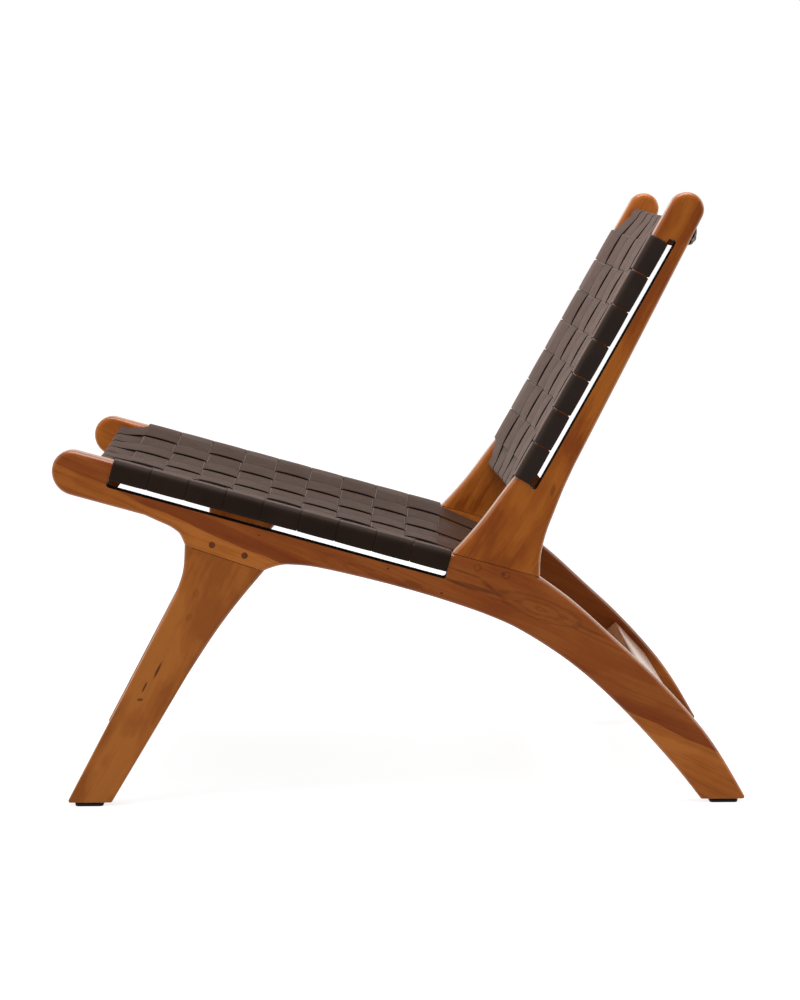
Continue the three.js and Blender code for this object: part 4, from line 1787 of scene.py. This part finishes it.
    def board_turn(self, side: int) -> list[Vector]:
        """The turn of a crosswise strap over the board at one side, from its tail to the top.

        Args:
            side: 1 on the left of the chair and -1 on the right.

        Returns:
            The points, tail first.
        """
        outside, inside = self.sides.outer_face + self.rest, self.half - self.rest
        under = -self.bar_depth - self.rest
        bend, upper_bend = self.slot_bend + self.rest, self.sides.edge_round + self.rest
        corners = (
            (inside, under + self.tail_rise, 0), (inside, under, bend), (outside, under, bend),
            (outside, self.rest, upper_bend), (self.half + self.board_run, self.rest, 0),
        )
        return [Vector((side * p.x, p.y)) for p in filleted(corners)]

    def crosswise_shell(self, index: int) -> tuple[Shell, float]:
        """Mesh of a crosswise strap.

        Args:
            index: Number of the strap.

        Returns:
            The points and faces, and the length of the strap's middle line.
        """
        weave = []
        for number in range(self.lengthwise_count):
            for x, out in self.crossing(self.middle(number), -self.over(number, index), self.crosswise_wave):
                weave.append(Vector((x, out - dip(self.dish, x, self.half))))
        turn = self.board_turn(1)[::-1]
        line = self.board_turn(-1) + weave + turn
        place = self.places[index] + self.random.uniform(-self.stray, self.stray)
        shell = Shell()
        rings = []
        for spot, out in zip(line, normals(line)):
            spread = self.wrap_spread if abs(spot.x) > self.half - self.margin / 2 else 0
            rings.append(shell.ring([
                self.line.space(spot.x + out.x * rise, place + across, spot.y + out.y * rise)
                for across, rise in self.crosswise.section(spread)
            ]))
        woven = range(len(turn), len(line) - len(turn))
        shell.tube(rings, lambda row, edge: self.crosswise.layer(edge, row in woven), StrapLayer.PAINTED_SIDE)
        return shell, run_length(line)

    def tacks(self) -> Shell:
        """Domed tacks at the tails of all straps.

        Returns:
            The points and faces.
        """
        shell = Shell()
        surface = self.rest + self.crosswise.thickness / 2
        offsets = (-self.tack_spread, self.tack_spread)
        out = -self.bar_depth - self.rest + self.tail_rise - self.tack_inset
        for place in self.places:
            for side in (1, -1):
                for offset in offsets:
                    base = self.line.space(side * (self.half - surface), place + offset, out)
                    self.dome(shell, base, Vector((-side, 0, 0)))
        down = self.line.space(0, 0, -1) - self.line.space(0, 0, 0)
        for rail, way in zip(self.rails, (1, -1)):
            along = rail.face(way) + way * (rail.thickness - self.tail_inset - self.tack_inset)
            out = self.under(rail) - self.lengthwise.thickness / 2
            for index in range(self.lengthwise_count):
                for offset in offsets:
                    x = self.middle(index) + offset
                    self.dome(shell, self.line.space(x, along, out - dip(rail.dish, x, self.half)), down)
        return shell

    def dome(self, shell: Shell, base: Vector, up: Vector) -> None:
        """Adds one tack head.

        Args:
            shell: Piece that gets it.
            base: Middle of its foot.
            up: Way that it stands out.
        """
        turn = up.to_track_quat("Z", "Y")
        rings = []
        for radius, height in self.tack_profile:
            loop = circle(Vector((0, 0)), radius, self.tack_sides)
            rings.append(shell.ring([base + turn @ Vector((p.x, p.y, height)) for p in loop]))
        shell.tube(rings)

    def build(self, effects: Effects) -> None:
        """Builds and dresses the straps and tacks of the sling.

        Args:
            effects: The shared node groups.
        """
        name, sharp = self.name, self.section_sharp
        finishes = (
            Plain(f"{name}_strap_edge_paint", (14, 9, 8), (20, 14, 12), rough=0.5, gloss=0.05),
            # Painted highlight: a light colour on the upper corners of woven strap edges, where light catches
            # them.
            Plain(f"{name}_strap_rubbed_edge", (115, 98, 90), (96, 80, 72), rough=0.5, gloss=0.1),
            Leather(f"{name}_lengthwise_leather", seed=3.0, gloss=self.gloss),
            Leather(f"{name}_crosswise_leather", seed=6.0, gloss=self.gloss),
        )
        edge, edge_highlight, along, across = (finish.material(effects) for finish in finishes)
        boards = [f"{side.label}_{self.wrapped}" for side in Side]
        for index in range(self.lengthwise_count):
            shell, length = self.lengthwise_shell(index)
            label = f"{name}_strap_{Run.LENGTHWISE.value}_{index + 1:02d}"
            piece = shell.build(label, [along, edge, along], sharp)
            enlist(piece, Slot.LENGTHWISE, f"{name}_long_strap_{index + 1:02d}")
        for index in range(self.crosswise_count):
            shell, length = self.crosswise_shell(index)
            label = f"{name}_strap_{Run.CROSSWISE.value}_{index + 1}"
            piece = shell.build(label, [across, edge, edge_highlight], sharp)
            enlist(piece, Slot.CROSSWISE, f"{name}_cross_strap_{index + 1}")
        steel = Plain("tack_steel", (96, 88, 80), (70, 62, 56), rough=0.35, metal=1.0).material(effects)
        enlist(self.tacks().build(f"{name}_strap_tacks", [steel]), None)


@dataclass
class SeatSling(Sling):
    """The seat."""

    name: str = "seat"
    wrapped: str = "seat_rail"
    dish: float = 30
    crosswise_count: int = 9
    crosswise_pitch: float = 45.55
    weave_start: float = 42
    rails: tuple[CrossRail, ...] = (
        CrossRail("front_seat_rail", start=7.5, thickness=30, depth=36, drop=7.5, dish=22.5),
        CrossRail("rear_seat_rail", start=519, thickness=28, depth=36, drop=12.5, dish=22.5),
    )

    @property
    def line(self) -> Slant:
        """The top of the side rails, from over the middle of the nose."""
        return Slant(self.sides.rail.at(0, self.sides.rail_depth / 2), self.sides.rail.tilt)

    @property
    def bar_depth(self) -> float:
        """Wood above the slot of a seat rail."""
        return self.sides.bar_depth


@dataclass
class BackSling(Sling):
    """The back."""

    name: str = "back"
    wrapped: str = "back_post"
    dish: float = 26
    crosswise_count: int = 7
    crosswise_pitch: float = 46.3
    weave_start: float = 109.5
    wrap_spread: float = 0.7
    gloss: float = 0.1
    lengthwise_wave: Wave = Wave(lift=0.9, bulge=1.0)
    rails: tuple[CrossRail, ...] = (
        CrossRail("lower_back_rail", start=75.5, thickness=30, depth=34, drop=5, dish=21),
        CrossRail("top_back_rail", start=443.5, thickness=28, depth=34, drop=8, dish=21, far_round=13.9),
    )

    @property
    def line(self) -> Slant:
        """The front faces of the posts."""
        return self.sides.post

    @property
    def bar_depth(self) -> float:
        """Wood before the slot of a back post."""
        return self.sides.post_bar

    @property
    def places(self) -> list[float]:
        """Middles of the crosswise straps, of which the top one is the first."""
        return super().places[::-1]


# Glides


@dataclass
class Glides:
    """Black glides under the four feet."""

    sides: SideFrames
    length: float = 34
    width: float = 26
    corner: float = 5
    profile: Pairs = ((1.6, 0), (0.9, 0.25), (0.5, 0.9), (0.1, 2.6), (0, 3.3), (0.25, 3.8), (0.8, 4))

    def shell(self, x: float, y: float) -> Shell:
        """Mesh of one glide.

        Args:
            x: Its middle along X.
            y: Its middle along Y.

        Returns:
            The points and faces.
        """
        shell = Shell()
        rings = []
        for inset, height in self.profile:
            loop = rounded_rectangle(self.length - inset * 2, self.width - inset * 2, self.corner - inset)
            rings.append(shell.ring([Vector((x + p.y, y + p.x, height)) for p in loop]))
        shell.tube(rings)
        return shell

    def build(self, effects: Effects) -> None:
        """Builds and dresses the four glides.

        Args:
            effects: The shared node groups.
        """
        finish = Plain("glide_black_rubber", (17, 17, 17), (26, 26, 26), rough=0.6, gloss=0.1)
        rubber = finish.material(effects)
        front = (self.sides.front_toe.x + self.sides.front_heel.x) / 2
        rear = (self.sides.rear_toe.x + self.sides.heel.x) / 2
        for side in Side:
            for name, y in (("front", front), ("rear", rear)):
                shell = self.shell(side.value * self.sides.board_middle, y)
                piece = shell.build(f"{side.label}_{name}_foot_glide", [rubber])
                enlist(piece, Slot.GLIDE, f"{side.label}_{name}_glide")


# Studio


@dataclass
class Studio:
    """Camera, floor, world and lamps."""

    spot: tuple[float, float, float] = (3961.304, -32.833, 710.406)
    tilt: float = 0.0950754861
    yaw: float = 0.00886398
    roll: float = -0.00480108
    lens: float = 113.056
    floor_size: float = 16
    ambient: float = 0.6
    floor_glow: float = 0.8
    floor_bounce: float = 0.36
    floor_grey: float = 0.42
    aim_height: float = 0.35

    def camera(self) -> None:
        """Sets the camera at the height and distance of the picture of the chair."""
        forward = Vector((
            -math.cos(self.tilt) * math.cos(self.yaw),
            math.cos(self.tilt) * math.sin(self.yaw),
            -math.sin(self.tilt),
        ))
        right = Vector((math.sin(self.yaw), math.cos(self.yaw), 0))
        up = right.cross(forward).normalized()
        across = right * math.cos(self.roll) + up * math.sin(self.roll)
        upward = up * math.cos(self.roll) - right * math.sin(self.roll)
        data = bpy.data.cameras.new("studio_camera")
        data.lens = self.lens
        data.sensor_width = 36
        data.clip_end = 100
        camera = bpy.data.objects.new("studio_camera", data)
        turn = Matrix((across, upward, -forward)).transposed()
        camera.matrix_world = Matrix.Translation(Vector(self.spot) * MM) @ turn.to_4x4()
        bpy.context.scene.collection.objects.link(camera)
        bpy.context.scene.camera = camera

    def seen(self, n: Nodes) -> bpy.types.NodeSocket:
        """Tells what the camera, a mirror or a glass sees from the rest.

        Args:
            n: Nodes of the world or of a material.

        Returns:
            The output with 1 for what is seen and 0 for the rest.
        """
        path = n.add("ShaderNodeLightPath").outputs
        total = n.math("ADD", path["Is Camera Ray"], path["Is Glossy Ray"])
        return n.math("MINIMUM", n.math("ADD", total, path["Is Transmission Ray"]), 1.0)

    def world(self) -> None:
        """Sets a white surrounding that lights the chair evenly."""
        world = bpy.data.worlds.new("studio_world")
        world.use_nodes = True
        bpy.context.scene.world = world
        world.node_tree.nodes.clear()
        n = Nodes(world.node_tree)
        dim = n.add("ShaderNodeBackground", {"Color": (1, 1, 1, 1), "Strength": self.ambient}).outputs[0]
        white = n.add("ShaderNodeBackground", {"Color": (1, 1, 1, 1), "Strength": 1.0}).outputs[0]
        both = n.add("ShaderNodeMixShader", {0: self.seen(n), 1: dim, 2: white}).outputs[0]
        n.add("ShaderNodeOutputWorld", {0: both})

    def floor(self) -> None:
        """Lays a pale floor that keeps the chair's shadow."""
        half = self.floor_size / 2
        data = bpy.data.meshes.new("studio_floor")
        corners = [(-half, -half, 0), (half, -half, 0), (half, half, 0), (-half, half, 0)]
        data.from_pydata(corners, [], [(0, 1, 2, 3)])
        floor = bpy.data.objects.new("studio_floor", data)
        bpy.context.scene.collection.objects.link(floor)
        material = bpy.data.materials.new("pale_floor")
        material.use_nodes = True
        material.node_tree.nodes.clear()
        n = Nodes(material.node_tree)
        grey = (self.floor_grey, self.floor_grey, self.floor_grey, 1)
        matte = n.add("ShaderNodeBsdfDiffuse", {"Color": grey}).outputs[0]
        strength = n.eased(self.seen(n), 0.0, 1.0, self.floor_bounce, self.floor_glow)
        glow = n.add("ShaderNodeEmission", {"Color": (1, 1, 1, 1), "Strength": strength}).outputs[0]
        both = n.add("ShaderNodeAddShader", {0: matte, 1: glow}).outputs[0]
        n.add("ShaderNodeOutputMaterial", {0: both})
        data.materials.append(material)

    def lamp(self, name: str, place: tuple[float, float, float], size: float, power: float) -> None:
        """Hangs one soft lamp that faces the chair.

        Args:
            name: Name of the lamp.
            place: Where it hangs, in metres.
            size: Length of its sides.
            power: Its power in watts.
        """
        data = bpy.data.lights.new(name, "AREA")
        data.size = size
        data.energy = power
        lamp = bpy.data.objects.new(name, data)
        lamp.location = place
        lamp.rotation_mode = "QUATERNION"
        lamp.rotation_quaternion = (Vector(place) - Vector((0, 0, self.aim_height))).to_track_quat("Z", "Y")
        lamp.visible_camera = False
        bpy.context.scene.collection.objects.link(lamp)

    def build(self) -> None:
        """Sets up the whole studio."""
        self.camera()
        self.world()
        self.floor()
        self.lamp("top_softbox", (0.2, 0.1, 2.5), size=1.8, power=74)
        self.lamp("front_softbox", (1.2, -2.6, 1.6), size=1.6, power=22)
        self.lamp("rear_softbox", (-0.6, 2.8, 1.8), size=1.6, power=22)
        bpy.context.scene.view_settings.view_transform = "Standard"


def main() -> None:
    """Builds the chair, sub-assembly by sub-assembly, and its studio."""
    logging.basicConfig(level=logging.INFO, format="%(name)s %(message)s")
    effects = Effects()
    studio = Studio()
    studio.build()
    sides = SideFrames()
    sides.build(effects)
    slings = [SeatSling(sides), BackSling(sides)]
    CrossMembers(sides).build(slings, effects)
    for sling in slings:
        sling.build(effects)
    Glides(sides).build(effects)


if __name__ == "__main__":
    main()
